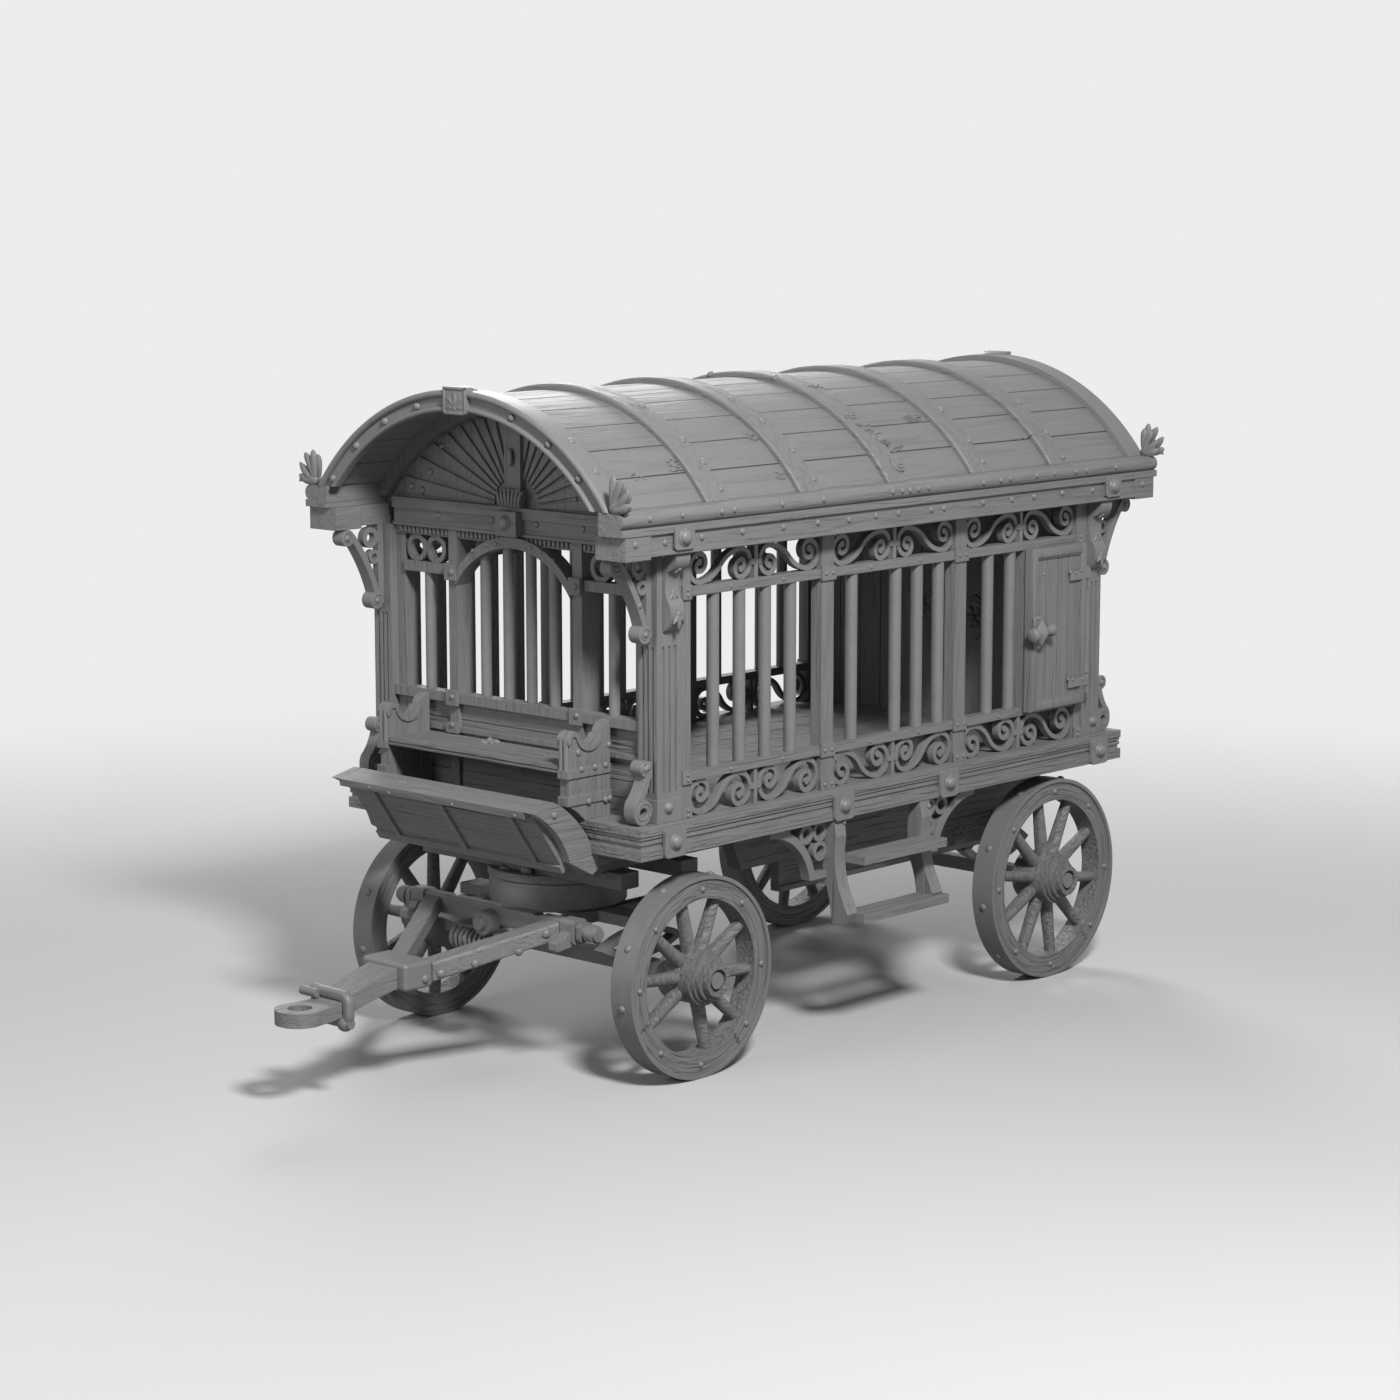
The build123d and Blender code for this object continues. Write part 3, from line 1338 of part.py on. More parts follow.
with BuildPart() as foot_scrolls:
    for end in (-1, 1):
        for side in (-1, 1):
            face = mid_x + end * (post_outer_x + 12)
            with BuildSketch(xz_plane(side * (post_outer_y - 55) + bracket_width / 2)):
                with BuildLine() as curl:
                    ThreePointArc((face + end * 22, 1560), (face + end * 42, 1490), (face + end * 84, 1420))
                    ThreePointArc((face + end * 84, 1420), (face + end * 106, 1378), (face + end * 92, 1340))
                trace(curl.line, line_width=36)
                with Locations((face + end * 44, 1570)):
                    Circle(38)
                    Circle(12, mode=Mode.SUBTRACT)
                with Locations((face + end * 62, 1362)):
                    Circle(62)
                with Locations((face + end * 62, 1362)):
                    Circle(24, mode=Mode.SUBTRACT)
                with BuildLine():
                    Polyline(
                        (face, 1600), (face, 1520), (face + end * 40, 1520), (face + end * 40, 1600), close=True
                    )
                make_face()
                with Locations((face + end * 44, 1570)):
                    Circle(12, mode=Mode.SUBTRACT)
            extrude(amount=bracket_width)
save(foot_scrolls, "foot_scrolls")

# Bench for the driver on the front deck, with scrolled sides, and the sloping footboard.
bench_front_x = front_axle_x - 590
bench_rear_x = wall_front_x - 12
bench_half_width = 660.0
side_thickness = 60.0
seat_bottom = 1528.0
seat_top = 1568.0
with BuildPart() as bench_seat:
    inner_y = bench_half_width - side_thickness
    block(bench_front_x + 14, bench_rear_x, -inner_y, inner_y, seat_bottom, seat_top)
    block(bench_front_x + 4, bench_front_x + 14, -inner_y, inner_y, seat_bottom + 4, seat_bottom + 16)
    block(bench_front_x + 4, bench_front_x + 14, -inner_y, inner_y, seat_top - 18, seat_top - 4)
    for number in range(1, 4):
        seam_x = bench_front_x + 14 + number * 68
        cut_block(seam_x - 3, seam_x + 3, -inner_y, inner_y, seat_top - 5, seat_top)
save(bench_seat, "bench_seat")

bead_radius = 13.0
bead_inset = 15.0
strap_thickness = 8.0
with BuildPart() as bench_sides:
    for side in (-1, 1):
        low_y, high_y = sorted((side * (bench_half_width - side_thickness), side * bench_half_width))
        with BuildSketch(xz_plane(high_y)):
            with BuildLine():
                Polyline(
                    (bench_rear_x, 1762),
                    (bench_rear_x, sill_top),
                    (front_axle_x - 475, sill_top),
                    (front_axle_x - 530, 1347),
                    (front_axle_x - 582, 1378),
                    (front_axle_x - 582, 1690),
                )
                ThreePointArc(
                    (front_axle_x - 582, 1690), (front_axle_x - 560, 1738), (front_axle_x - 522, 1706)
                )
                ThreePointArc(
                    (front_axle_x - 522, 1706), (front_axle_x - 440, 1652), (front_axle_x - 366, 1716)
                )
                ThreePointArc(
                    (front_axle_x - 366, 1716), (front_axle_x - 340, 1750), (bench_rear_x, 1762)
                )
            make_face()
        extrude(amount=side_thickness)
        # A capping follows the scrolled top.
        with BuildSketch(xz_plane(high_y + 9)):
            with BuildLine() as capping:
                ThreePointArc(
                    (front_axle_x - 576, 1676), (front_axle_x - 556, 1722), (front_axle_x - 522, 1696)
                )
                ThreePointArc(
                    (front_axle_x - 522, 1696), (front_axle_x - 440, 1644), (front_axle_x - 366, 1702)
                )
            trace(capping.line, line_width=26)
        extrude(amount=side_thickness + 18)
        # Twin beads down the front edge.
        for bead_y in (low_y + bead_inset, high_y - bead_inset):
            with BuildSketch(Plane.XY.offset(1550)):
                with Locations((front_axle_x - 586, bead_y)):
                    Circle(bead_radius)
            extrude(amount=150)
        # Iron straps round the side.
        for low_z, high_z in [(1510.0, 1552.0), (1380.0, 1424.0)]:
            block(
                front_axle_x - 600,
                bench_rear_x,
                low_y if side > 0 else low_y - strap_thickness,
                high_y + strap_thickness if side > 0 else high_y,
                low_z,
                high_z,
            )
save(bench_sides, "bench_sides")

arm_half_width = 700.0
arm_thickness = 55.0
deck_front = mid_x - half_sill_length
with BuildPart() as footboard_arms:
    for side in (-1, 1):
        start = arm_half_width if side > 0 else -arm_half_width + arm_thickness
        with BuildSketch(xz_plane(start)):
            with BuildLine():
                Line((front_axle_x - 873, 1392), (front_axle_x - 722, 1425))
                ThreePointArc(
                    (front_axle_x - 722, 1425), (front_axle_x - 575, 1318), (deck_front, sill_bottom + 40)
                )
                Line((deck_front, sill_bottom + 40), (deck_front, sill_bottom))
                Line((deck_front, sill_bottom), (deck_front + 46, sill_bottom))
                Line((deck_front + 46, sill_bottom), (deck_front + 46, 1062))
                Line((deck_front + 46, 1062), (deck_front + 8, 1038))
                Line((deck_front + 8, 1038), (front_axle_x - 618, 1118))
                ThreePointArc(
                    (front_axle_x - 618, 1118), (front_axle_x - 706, 1272), (front_axle_x - 873, 1392)
                )
            make_face()
        extrude(amount=arm_thickness)
save(footboard_arms, "footboard_arms")

with BuildPart() as footboard:
    inner = arm_half_width - arm_thickness
    with BuildSketch(xz_plane(inner)):
        with BuildLine():
            Polyline(
                (front_axle_x - 873, 1392),
                (front_axle_x - 722, 1425),
                (front_axle_x - 706, 1392),
                (front_axle_x - 772, 1375),
                (front_axle_x - 570, 1085),
                (front_axle_x - 600, 1065),
                (front_axle_x - 812, 1366),
                (front_axle_x - 866, 1356),
                close=True,
            )
        make_face()
    extrude(amount=2 * inner)
    # Iron battens down the panel and a rail along its foot.
    # Columns: y from, y to, how far down the panel's slope the strip begins, ends.
    strips = [(460.0, 500.0, 10.0, 368.0), (-20.0, 20.0, 10.0, 368.0), (-500.0, -460.0, 10.0, 368.0)]
    strips += [(-inner, inner, 322.0, 368.0)]
    slope_x = 212.0 / 368.0
    slope_z = -301.0 / 368.0
    for low_y, high_y, begin, finish in strips:
        with BuildSketch(xz_plane(high_y)):
            with BuildLine():
                Polyline(
                    (front_axle_x - 812 + slope_x * begin, 1366 + slope_z * begin),
                    (front_axle_x - 812 + slope_x * finish, 1366 + slope_z * finish),
                    (
                        front_axle_x - 812 + slope_x * finish + slope_z * 14,
                        1366 + slope_z * finish - slope_x * 14,
                    ),
                    (
                        front_axle_x - 812 + slope_x * begin + slope_z * 14,
                        1366 + slope_z * begin - slope_x * 14,
                    ),
                    close=True,
                )
            make_face()
        extrude(amount=high_y - low_y)
save(footboard, "footboard")

# Side steps: two S-shaped stringers hung from the sill and two treads.
stringer_thickness = 80.0
stringer_fronts = (front_axle_x + 920, front_axle_x + 1600)
tread_rear_y = -1015.0
tread_front_y = -1160.0
tread_thickness = 45.0

with BuildPart() as step_stringers:
    for start in stringer_fronts:
        with BuildSketch(yz_plane(start)):
            with BuildLine():
                Line((-960, sill_bottom), (-1024, sill_bottom))
                Line((-1024, sill_bottom), (-1040, 1060))
                ThreePointArc((-1040, 1060), (-1034, 930), (-1060, 800))
                ThreePointArc((-1060, 800), (-1095, 720), (-1118, 675))
                Line((-1118, 675), (-1096, 622))
                Line((-1096, 622), (-1010, 612))
                ThreePointArc((-1010, 612), (-1000, 720), (-965, 830))
                ThreePointArc((-965, 830), (-945, 990), (-960, sill_bottom))
            make_face()
        extrude(amount=stringer_thickness)
save(step_stringers, "step_stringers")

with BuildPart() as step_treads:
    # Columns: top of the tread, how far it runs past the rear stringer's front face.
    for tread_top, past in [(965.0, 60.0), (668.0, stringer_thickness)]:
        low_x = stringer_fronts[0] + stringer_thickness
        high_x = stringer_fronts[1] + past
        block(low_x, high_x, tread_front_y, tread_rear_y, tread_top - tread_thickness, tread_top)
        for groove_y in (tread_front_y + 42, tread_front_y + 92):
            cut_block(low_x, high_x, groove_y - 5, groove_y + 5, tread_top - 5, tread_top)
    add(step_stringers.part, mode=Mode.SUBTRACT)
save(step_treads, "step_treads")

# Quarter-arch braces between the sill and the feet of the stringers, filled with rings.
brace_radius = 350.0
brace_depth = 44.0
brace_centre_z = sill_bottom - brace_radius + 3
with BuildPart() as step_braces:
    # Columns: x where the brace meets its stringer, direction away from it.
    for foot_x, away in [(stringer_fronts[0], -1), (stringer_fronts[1] + stringer_thickness, 1)]:
        centre_x = foot_x + away * (brace_radius + 80)
        with BuildSketch(xz_plane(-920)):
            with Locations((centre_x, brace_centre_z)):
                Circle(brace_radius)
                Circle(brace_radius - brace_depth, mode=Mode.SUBTRACT)
            with Locations((foot_x + away * 250, (848 + sill_bottom) / 2)):
                Rectangle(500, sill_bottom - 848, mode=Mode.INTERSECT)
            with Locations((foot_x + away * (brace_radius + 80 + 250), 1000)):
                Rectangle(500, 500, mode=Mode.SUBTRACT)
            with Locations((foot_x + away * 60, 866)):
                Rectangle(120, 36)
            # Columns: distance from the stringer, height, radius of each ring, radius of its hole.
            for ring_x, ring_z, ring_r, hole_r in [
                (53.0, 1092.0, 54.0, 31.0),
                (155.0, 1088.0, 51.0, 27.0),
                (50.0, 990.0, 51.0, 29.0),
            ]:
                with Locations((foot_x + away * ring_x, ring_z)):
                    Circle(ring_r)
            for ring_x, ring_z, ring_r, hole_r in [
                (53.0, 1092.0, 54.0, 31.0),
                (155.0, 1088.0, 51.0, 27.0),
                (50.0, 990.0, 51.0, 29.0),
            ]:
                with Locations((foot_x + away * ring_x, ring_z)):
                    Circle(hole_r, mode=Mode.SUBTRACT)
            with Locations((foot_x - away * 500, 1000), (foot_x, sill_bottom + 250)):
                Rectangle(1000, 500, mode=Mode.SUBTRACT)
        extrude(amount=60)
save(step_braces, "step_braces")

# Plates with rounded corners on the sill, and over the mouldings of the fascia.
plate_half = 73.0
plate_thickness = 20.0
cover_depth = 10.0
with BuildPart() as boss_plates:
    for side in (-1, 1):
        for offset in (-1697.0, -461.0, 382.0, 1697.0):
            outer_face = half_sill_width + plate_thickness
            with BuildSketch(xz_plane(-half_sill_width if side < 0 else outer_face)):
                with Locations((mid_x + offset, 1215)):
                    RectangleRounded(2 * plate_half, 2 * plate_half, 22)
            extrude(amount=plate_thickness)
        for offset in (-1697.0, 1697.0):
            inner_face = fascia_outer_y + 16
            low_y, high_y = sorted((side * fascia_outer_y, side * inner_face))
            block(mid_x + offset - 58, mid_x + offset + 58, low_y, high_y, fascia_bottom + 24, fascia_top)
            with BuildSketch(xz_plane(-inner_face if side < 0 else inner_face + cover_depth)):
                with Locations((mid_x + offset, (fascia_bottom + moulding_top + 16) / 2)):
                    RectangleRounded(132, moulding_top - fascia_bottom - 22, 18)
            extrude(amount=cover_depth)
save(boss_plates, "boss_plates")
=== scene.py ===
# %% [markdown]
# # A circus cage wagon
# The construction of this wagon, with every post, spoke and hinge at its real size, comes ready made.
# This lesson dresses it: it gives each surface a finish, and adds the small things that a smith and a
# carver would add last, such as rivets, bolts, knots, leaves and worn edges.
# All lengths are metres. +X points to the rear, -Y is the side with the door, +Z is up.

# %% Load the construction
import json
import math
import random

import bmesh
import bpy
from mathutils import Matrix, Vector
from mathutils.bvhtree import BVHTree

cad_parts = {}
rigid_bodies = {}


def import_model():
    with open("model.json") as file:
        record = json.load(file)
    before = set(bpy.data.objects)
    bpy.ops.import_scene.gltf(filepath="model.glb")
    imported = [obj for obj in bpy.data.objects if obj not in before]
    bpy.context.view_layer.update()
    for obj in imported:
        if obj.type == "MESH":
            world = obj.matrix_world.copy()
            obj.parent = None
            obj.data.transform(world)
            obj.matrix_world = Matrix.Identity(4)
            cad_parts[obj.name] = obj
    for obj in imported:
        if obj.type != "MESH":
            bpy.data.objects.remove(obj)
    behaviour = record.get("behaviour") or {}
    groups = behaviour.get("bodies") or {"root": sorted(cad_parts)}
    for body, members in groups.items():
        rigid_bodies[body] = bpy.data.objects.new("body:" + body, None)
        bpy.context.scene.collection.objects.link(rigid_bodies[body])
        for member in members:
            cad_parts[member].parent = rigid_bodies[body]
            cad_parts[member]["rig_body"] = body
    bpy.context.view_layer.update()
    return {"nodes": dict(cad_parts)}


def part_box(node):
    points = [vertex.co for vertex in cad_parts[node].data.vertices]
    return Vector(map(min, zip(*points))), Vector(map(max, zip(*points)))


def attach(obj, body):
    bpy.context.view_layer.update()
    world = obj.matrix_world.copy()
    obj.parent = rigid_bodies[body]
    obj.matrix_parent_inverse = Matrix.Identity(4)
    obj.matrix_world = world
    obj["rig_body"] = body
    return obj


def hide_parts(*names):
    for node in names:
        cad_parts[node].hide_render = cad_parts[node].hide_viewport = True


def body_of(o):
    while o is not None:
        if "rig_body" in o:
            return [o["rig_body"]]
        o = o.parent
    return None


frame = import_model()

scene = bpy.context.scene
nodes = frame["nodes"]

# %% [markdown]
# ## Camera
# The picture was fitted beforehand: a long lens, about 18 m away from the left front corner, a little
# above the roof line. Only its place, its turn and its lens are needed.

# %% Camera
camera_place = Vector((-12.4475, -11.6044, 4.3733))
camera_yaw = math.radians(42.5853)
camera_pitch = math.radians(9.1005)
focal_pixels = 3342.91
photo_pixels = 1400

lens = bpy.data.cameras.new("camera")
lens.sensor_width = 36.0
lens.lens = focal_pixels / photo_pixels * lens.sensor_width
lens.clip_end = 200.0
camera = bpy.data.objects.new("camera", lens)
scene.collection.objects.link(camera)
view_direction = Vector((
    math.cos(camera_yaw) * math.cos(camera_pitch),
    math.sin(camera_yaw) * math.cos(camera_pitch),
    -math.sin(camera_pitch),
))
camera.location = camera_place
camera.rotation_euler = view_direction.to_track_quat("-Z", "Y").to_euler()
scene.camera = camera
print("lens", round(lens.lens, 2), "mm")

# %% [markdown]
# ## Light
# The picture has one strong soft light from the left, which makes the long side bright and leaves
# the front end in half shade. A large key lamp does that here. Two weak lamps keep the far sides
# readable, and the world gives an even fill.

# %% Lamps and world
def area_lamp(name, place, target, size, watts):
    """One soft square lamp that looks at a point."""
    data = bpy.data.lights.new(name, "AREA")
    data.size = size
    data.energy = watts
    lamp = bpy.data.objects.new(name, data)
    scene.collection.objects.link(lamp)
    lamp.location = place
    aim = Vector(target) - Vector(place)
    lamp.rotation_euler = aim.to_track_quat("-Z", "Y").to_euler()
    return lamp


wagon_middle = (0.3, 0.0, 1.6)
area_lamp("key_lamp", (-5.5, -9.0, 10.0), wagon_middle, 2.0, 1820.0)
area_lamp("front_lamp", (-11.0, 1.5, 5.0), wagon_middle, 3.0, 150.0)
area_lamp("back_lamp", (7.0, 8.0, 8.0), wagon_middle, 4.0, 620.0)

world = bpy.data.worlds.new("studio")
scene.world = world
world.use_nodes = True
scene.view_settings.view_transform = "Standard"

# %% [markdown]
# ## Short sums for shaders
# A finish is a chain of nodes, and most of those nodes are plain sums. A `Signal` stands for one
# output of a node and knows how to be added, multiplied and subtracted, so a sum of signals reads as
# a sum in the code. A `Finish` is one material that can add a node and join it in a single line.

# %% Signal and Finish
class Signal:
    """One output of a shader node. A sum of signals adds the Math nodes for it."""

    def __init__(self, finish, socket):
        self.finish = finish
        self.socket = socket

    def __add__(self, other):
        return self.finish.math("ADD", self, other)

    def __sub__(self, other):
        return self.finish.math("SUBTRACT", self, other)

    def __rsub__(self, other):
        return self.finish.math("SUBTRACT", other, self)

    def __mul__(self, other):
        return self.finish.math("MULTIPLY", self, other)

    __radd__ = __add__
    __rmul__ = __mul__


class Finish:
    """One material, with short ways to add and join its nodes."""

    def __init__(self, name, tree=None):
        if tree is None:
            self.material = bpy.data.materials.new(name)
            self.material.use_nodes = True
            tree = self.material.node_tree
        self.tree = tree

    def node(self, kind, settings=None, inputs=None, output=0):
        """Adds a node: its settings first, then a value or a signal for each of its inputs."""
        made = self.tree.nodes.new(kind)
        for key, value in (settings or {}).items():
            if key == "stops":
                self.set_stops(made.color_ramp.elements, value)
            else:
                setattr(made, key, value)
        for key, value in (inputs or {}).items():
            self.feed(made.inputs[key], value)
        return Signal(self, made.outputs[output])

    def set_stops(self, elements, stops):
        while len(elements) < len(stops):
            elements.new(0.5)
        for element, (position, level) in zip(elements, stops):
            element.position = position
            element.color = (level, level, level, 1.0)

    def feed(self, socket, value):
        """Puts a value on a socket, or joins a signal to it."""
        if isinstance(value, Signal):
            self.tree.links.new(value.socket, socket)
        else:
            socket.default_value = value

    def surface(self, **inputs):
        """Sets inputs of the Principled shader, with an underscore for each space."""
        shader = self.tree.nodes["Principled BSDF"]
        for key, value in inputs.items():
            self.feed(shader.inputs[key.replace("_", " ")], value)

    def math(self, operation, first, second=0.0):
        return self.node("ShaderNodeMath", {"operation": operation}, {0: first, 1: second})

    def split(self, place):
        """The X, Y and Z of a place, as three signals."""
        parts = self.tree.nodes.new("ShaderNodeSeparateXYZ")
        self.feed(parts.inputs[0], place)
        return [Signal(self, output) for output in parts.outputs]

    def place_on(self, squeeze=1.0):
        """The place on the object, squeezed by one number or by three."""
        spot = self.node("ShaderNodeTexCoord", output="Object")
        scale = (squeeze,) * 3 if isinstance(squeeze, float) else squeeze
        return self.node("ShaderNodeMapping", inputs={"Vector": spot, "Scale": scale})

    def noise(self, place, detail=4.0, roughness=0.55, distortion=0.0):
        """A cloudy pattern. `place` is a signal, or how much to squeeze the place on the object."""
        if not isinstance(place, Signal):
            place = self.place_on(place)
        return self.node("ShaderNodeTexNoise", inputs={
            "Vector": place, "Scale": 1.0, "Detail": detail,
            "Roughness": roughness, "Distortion": distortion,
        })

    def ramp(self, signal, stops):
        return self.node("ShaderNodeValToRGB", {"stops": stops}, {"Fac": signal})

    def relief(self, height, distance, rounding):
        """The normal of a raised pattern, on edges that thick paint has rounded."""
        edge = self.node("ShaderNodeBevel", {"samples": 4}, {"Radius": rounding})
        return self.node("ShaderNodeBump", inputs={"Height": height, "Distance": distance, "Normal": edge})

    def shade(self, mask, dark, light):
        """A colour between two others, where the mask goes from 0 to 1."""
        return self.node("ShaderNodeMix", {"data_type": "RGBA"}, {
            "Factor": mask, 6: (*dark, 1.0), 7: (*light, 1.0),
        }, output=2)


print("shader helpers ready")

# %% [markdown]
# ## Backdrop
# The wagon stands on a plain pale floor. The floor fades out to the colour of the world some way
# behind the wagon, so no horizon line shows. Only the camera, and mirrors and glass, see the pale
# colour of the world. The wagon itself is lit by a lower, even fill. The floor is pale to the camera
# too, but throws less light up, so the undersides stay as dark as in the picture.

# %% Pale world and floor
sky = Finish("studio", world.node_tree)
rays = sky.tree.nodes.new("ShaderNodeLightPath")
seen = Signal(sky, rays.outputs["Is Camera Ray"]) + Signal(sky, rays.outputs["Is Glossy Ray"])
seen = sky.math("MINIMUM", seen, 1.0)
background = sky.tree.nodes["Background"]
background.inputs["Color"].default_value = (0.86, 0.87, 0.88, 1.0)
background.inputs["Strength"].default_value = 0.17
pale = sky.node("ShaderNodeBackground", inputs={"Color": (0.84, 0.845, 0.85, 1.0), "Strength": 1.0})
both = sky.node("ShaderNodeMixShader", inputs={
    "Fac": seen, 1: Signal(sky, background.outputs[0]), 2: pale,
})
sky.feed(sky.tree.nodes["World Output"].inputs["Surface"], both)

floor_mesh = bmesh.new()
bmesh.ops.create_circle(floor_mesh, cap_ends=True, segments=96, radius=40.0)
floor_data = bpy.data.meshes.new("studio_floor")
floor_mesh.to_mesh(floor_data)
floor_mesh.free()
studio_floor = bpy.data.objects.new("studio_floor", floor_data)
scene.collection.objects.link(studio_floor)

floor_finish = Finish("studio_floor")
eye = floor_finish.node("ShaderNodeLightPath", output="Is Camera Ray")
floor_finish.surface(
    Base_Color=floor_finish.shade(eye, (0.28, 0.28, 0.28), (0.62, 0.62, 0.625)),
    Roughness=0.9,
)
away = floor_finish.node(
    "ShaderNodeVectorMath", {"operation": "LENGTH"}, {0: floor_finish.place_on()}, output="Value",
)
faded = floor_finish.node("ShaderNodeMapRange", {"interpolation_type": "SMOOTHSTEP"}, {
    "Value": away, "From Min": 3.2, "From Max": 11.0,
})
clear = floor_finish.node("ShaderNodeBsdfTransparent")
lit = Signal(floor_finish, floor_finish.tree.nodes["Principled BSDF"].outputs[0])
floor_mix = floor_finish.node("ShaderNodeMixShader", inputs={"Fac": faded, 1: lit, 2: clear})
floor_finish.feed(floor_finish.tree.nodes["Material Output"].inputs["Surface"], floor_mix)
studio_floor.data.materials.append(floor_finish.material)
print("backdrop ready")

# %% [markdown]
# ## Painted timber
# The timber is old, deeply weathered oak under one coat of grey paint. The paint hides the colour of
# the wood but not its grain, so the grain has to come from the surface itself: long raised lines that
# run the way the board runs and wander a little. A noise stretched 14 times along the board gives the
# lines. The same lines make the paint a little paler on their crests, where hands and weather
# have polished it, and rougher in the grooves.

# %% Timber finishes, one for each direction of the grain
grain_stretch = 14


def squeezed(along, across_scale, along_scale):
    """Three scales: one along the board and the other across it."""
    return [along_scale if axis == along else across_scale for axis in "XYZ"]


def grain_along(finish, along, fine):
    """The grain pattern, stretched along one direction."""
    return finish.noise(squeezed(along, fine, fine / grain_stretch), 5.0, 0.6, 0.9)


def timber(name, along, level=0.20, depth=0.0060, fine=34.0, lintel=None):
    """Painted timber whose grain runs along X, Y or Z, and along Y above the height `lintel`."""
    finish = Finish(name)
    grain = grain_along(finish, along, fine)
    if lintel is not None:
        over = finish.math("GREATER_THAN", finish.split(finish.place_on())[2], lintel)
        grain = grain * (1.0 - over) + grain_along(finish, "Y", fine) * over
    lines = finish.ramp(grain, [(0.30, 0.0), (0.46, 0.62), (0.54, 0.70), (0.74, 1.0)])
    cup = finish.noise(squeezed(along, 9.0, 0.7), 2.0, 0.5, 1.6)
    specks = finish.noise(60.0, 3.0)
    wear = finish.noise(2.4)
    height = lines * 0.7 + cup * 0.9 + specks * 0.10
    tone = finish.ramp(lines * 0.55 + wear * 0.45, [(0.18, 0.0), (0.80, 1.0)])
    dark = tuple(level * part for part in (0.86, 0.86, 0.865))
    light = tuple(level * part for part in (1.07, 1.07, 1.065))
    finish.surface(
        Base_Color=finish.shade(tone, dark, light),
        Roughness=0.62 - lines * 0.14 + wear * 0.06,
        Normal=finish.relief(height, depth, 0.006),
    )
    return finish


timber_x = timber("painted_timber_x", "X")
timber_y = timber("painted_timber_y", "Y")
timber_z = timber("painted_timber_z", "Z")
front_timber = timber("front_timber", "Z", lintel=2.545)
plank_x = timber("roof_plank", "X", 0.205, 0.0050, 26.0)
print("timber finishes", timber_x.material.name, timber_y.material.name, timber_z.material.name)

# %% [markdown]
# ## Wheel timber
# A felloe is cut along a curve, and a spoke runs outwards, so no straight grain fits a wheel. The
# place on the wheel is turned into an angle and a distance from the hub. On the felloes the grain is
# stretched along the angle, and on the spokes along the distance. Each wheel gets its own copy of the
# finish, centred on its own hub.

# %% Wheel finish
def wheel_timber(name, hub, felloe_start):
    """Painted timber for a wheel: grain round the felloes and along the spokes."""
    finish = Finish(name)
    spot = finish.node("ShaderNodeTexCoord", output="Object")
    centred = finish.node("ShaderNodeVectorMath", {"operation": "SUBTRACT"}, {0: spot, 1: hub})
    x, y, z = finish.split(centred)
    angle = finish.math("ARCTAN2", z, x)
    reach = finish.math("SQRT", x * x + z * z)
    spoke_place = finish.node("ShaderNodeCombineXYZ", inputs={
        0: angle * reach * 48.0, 1: y * 48.0, 2: reach * 3.2,
    })
    felloe_place = finish.node("ShaderNodeCombineXYZ", inputs={
        0: angle * 2.0, 1: y * 48.0, 2: reach * 62.0,
    })
    on_felloe = finish.math("GREATER_THAN", reach, felloe_start)
    spoke_grain = finish.noise(spoke_place, 4.0, 0.6, 0.8)
    felloe_grain = finish.noise(felloe_place, 4.0, 0.6, 0.8)
    grain = spoke_grain * (1.0 - on_felloe) + felloe_grain * on_felloe
    lines = finish.ramp(grain, [(0.32, 0.0), (0.47, 0.62), (0.56, 0.72), (0.74, 1.0)])
    wear = finish.noise(4.0, 3.0)
    tone = finish.ramp(lines * 0.6 + wear * 0.4, [(0.15, 0.0), (0.85, 1.0)])
    finish.surface(
        Base_Color=finish.shade(tone, (0.170, 0.170, 0.171), (0.214, 0.214, 0.213)),
        Roughness=0.60 - lines * 0.14 + wear * 0.06,
        Normal=finish.relief(lines, 0.0085, 0.005),
    )
    return finish


# %% [markdown]
# ## Iron and carving
# The ironwork is forged and painted with the same grey. It is smoother than the timber and shines a
# little more, and the hammer has left shallow dents. Carved pieces are the evenest, because the carver
# sanded them, with only a trace of the chisel left. The inside of a crack and the hollows of broken timber
# get painted shade: the same paint, darkened as if it lay in shadow.

# %% Iron and carved finishes
def forged(name, level, shine, dent):
    """Painted iron with shallow hammer marks."""
    finish = Finish(name)
    dents = finish.node("ShaderNodeTexVoronoi", {"feature": "SMOOTH_F1"}, {
        "Vector": finish.place_on(26.0), "Scale": 1.0, "Smoothness": 1.0,
    })
    scratches = finish.noise((90.0, 90.0, 30.0), 3.0)
    wear = finish.noise(7.0)
    tone = finish.ramp(wear * 0.7 + dents * 0.3, [(0.25, 0.0), (0.75, 1.0)])
    finish.surface(
        Base_Color=finish.shade(tone, (level * 0.9,) * 3, (level * 1.08, level * 1.08, level * 1.085)),
        Roughness=shine + wear * 0.12 + scratches * 0.06,
        Normal=finish.relief(dents * 0.8 + scratches * 0.12, dent, 0.004),
    )
    return finish


def carved(name):
    """Smooth painted carving, with faint chisel marks."""
    finish = Finish(name)
    chisel = finish.noise((34.0, 34.0, 14.0), 3.0, 0.5, 1.2)
    wear = finish.noise(6.0, 3.0)
    tone = finish.ramp(wear * 0.6 + chisel * 0.4, [(0.2, 0.0), (0.8, 1.0)])
    finish.surface(
        Base_Color=finish.shade(tone, (0.186, 0.186, 0.187), (0.218, 0.218, 0.217)),
        Roughness=0.46 + wear * 0.10,
        Normal=finish.relief(chisel, 0.0020, 0.006),
    )
    return finish


def painted_shade(name, scale, dark, light, roughness):
    """Painted shade: the dark inside a crack or a hole, given as a colour."""
    finish = Finish(name)
    tone = finish.noise(scale, 3.0)
    finish.surface(
        Base_Color=finish.shade(tone, (dark,) * 3, (light,) * 3),
        Roughness=roughness + tone * 0.1,
    )
    return finish


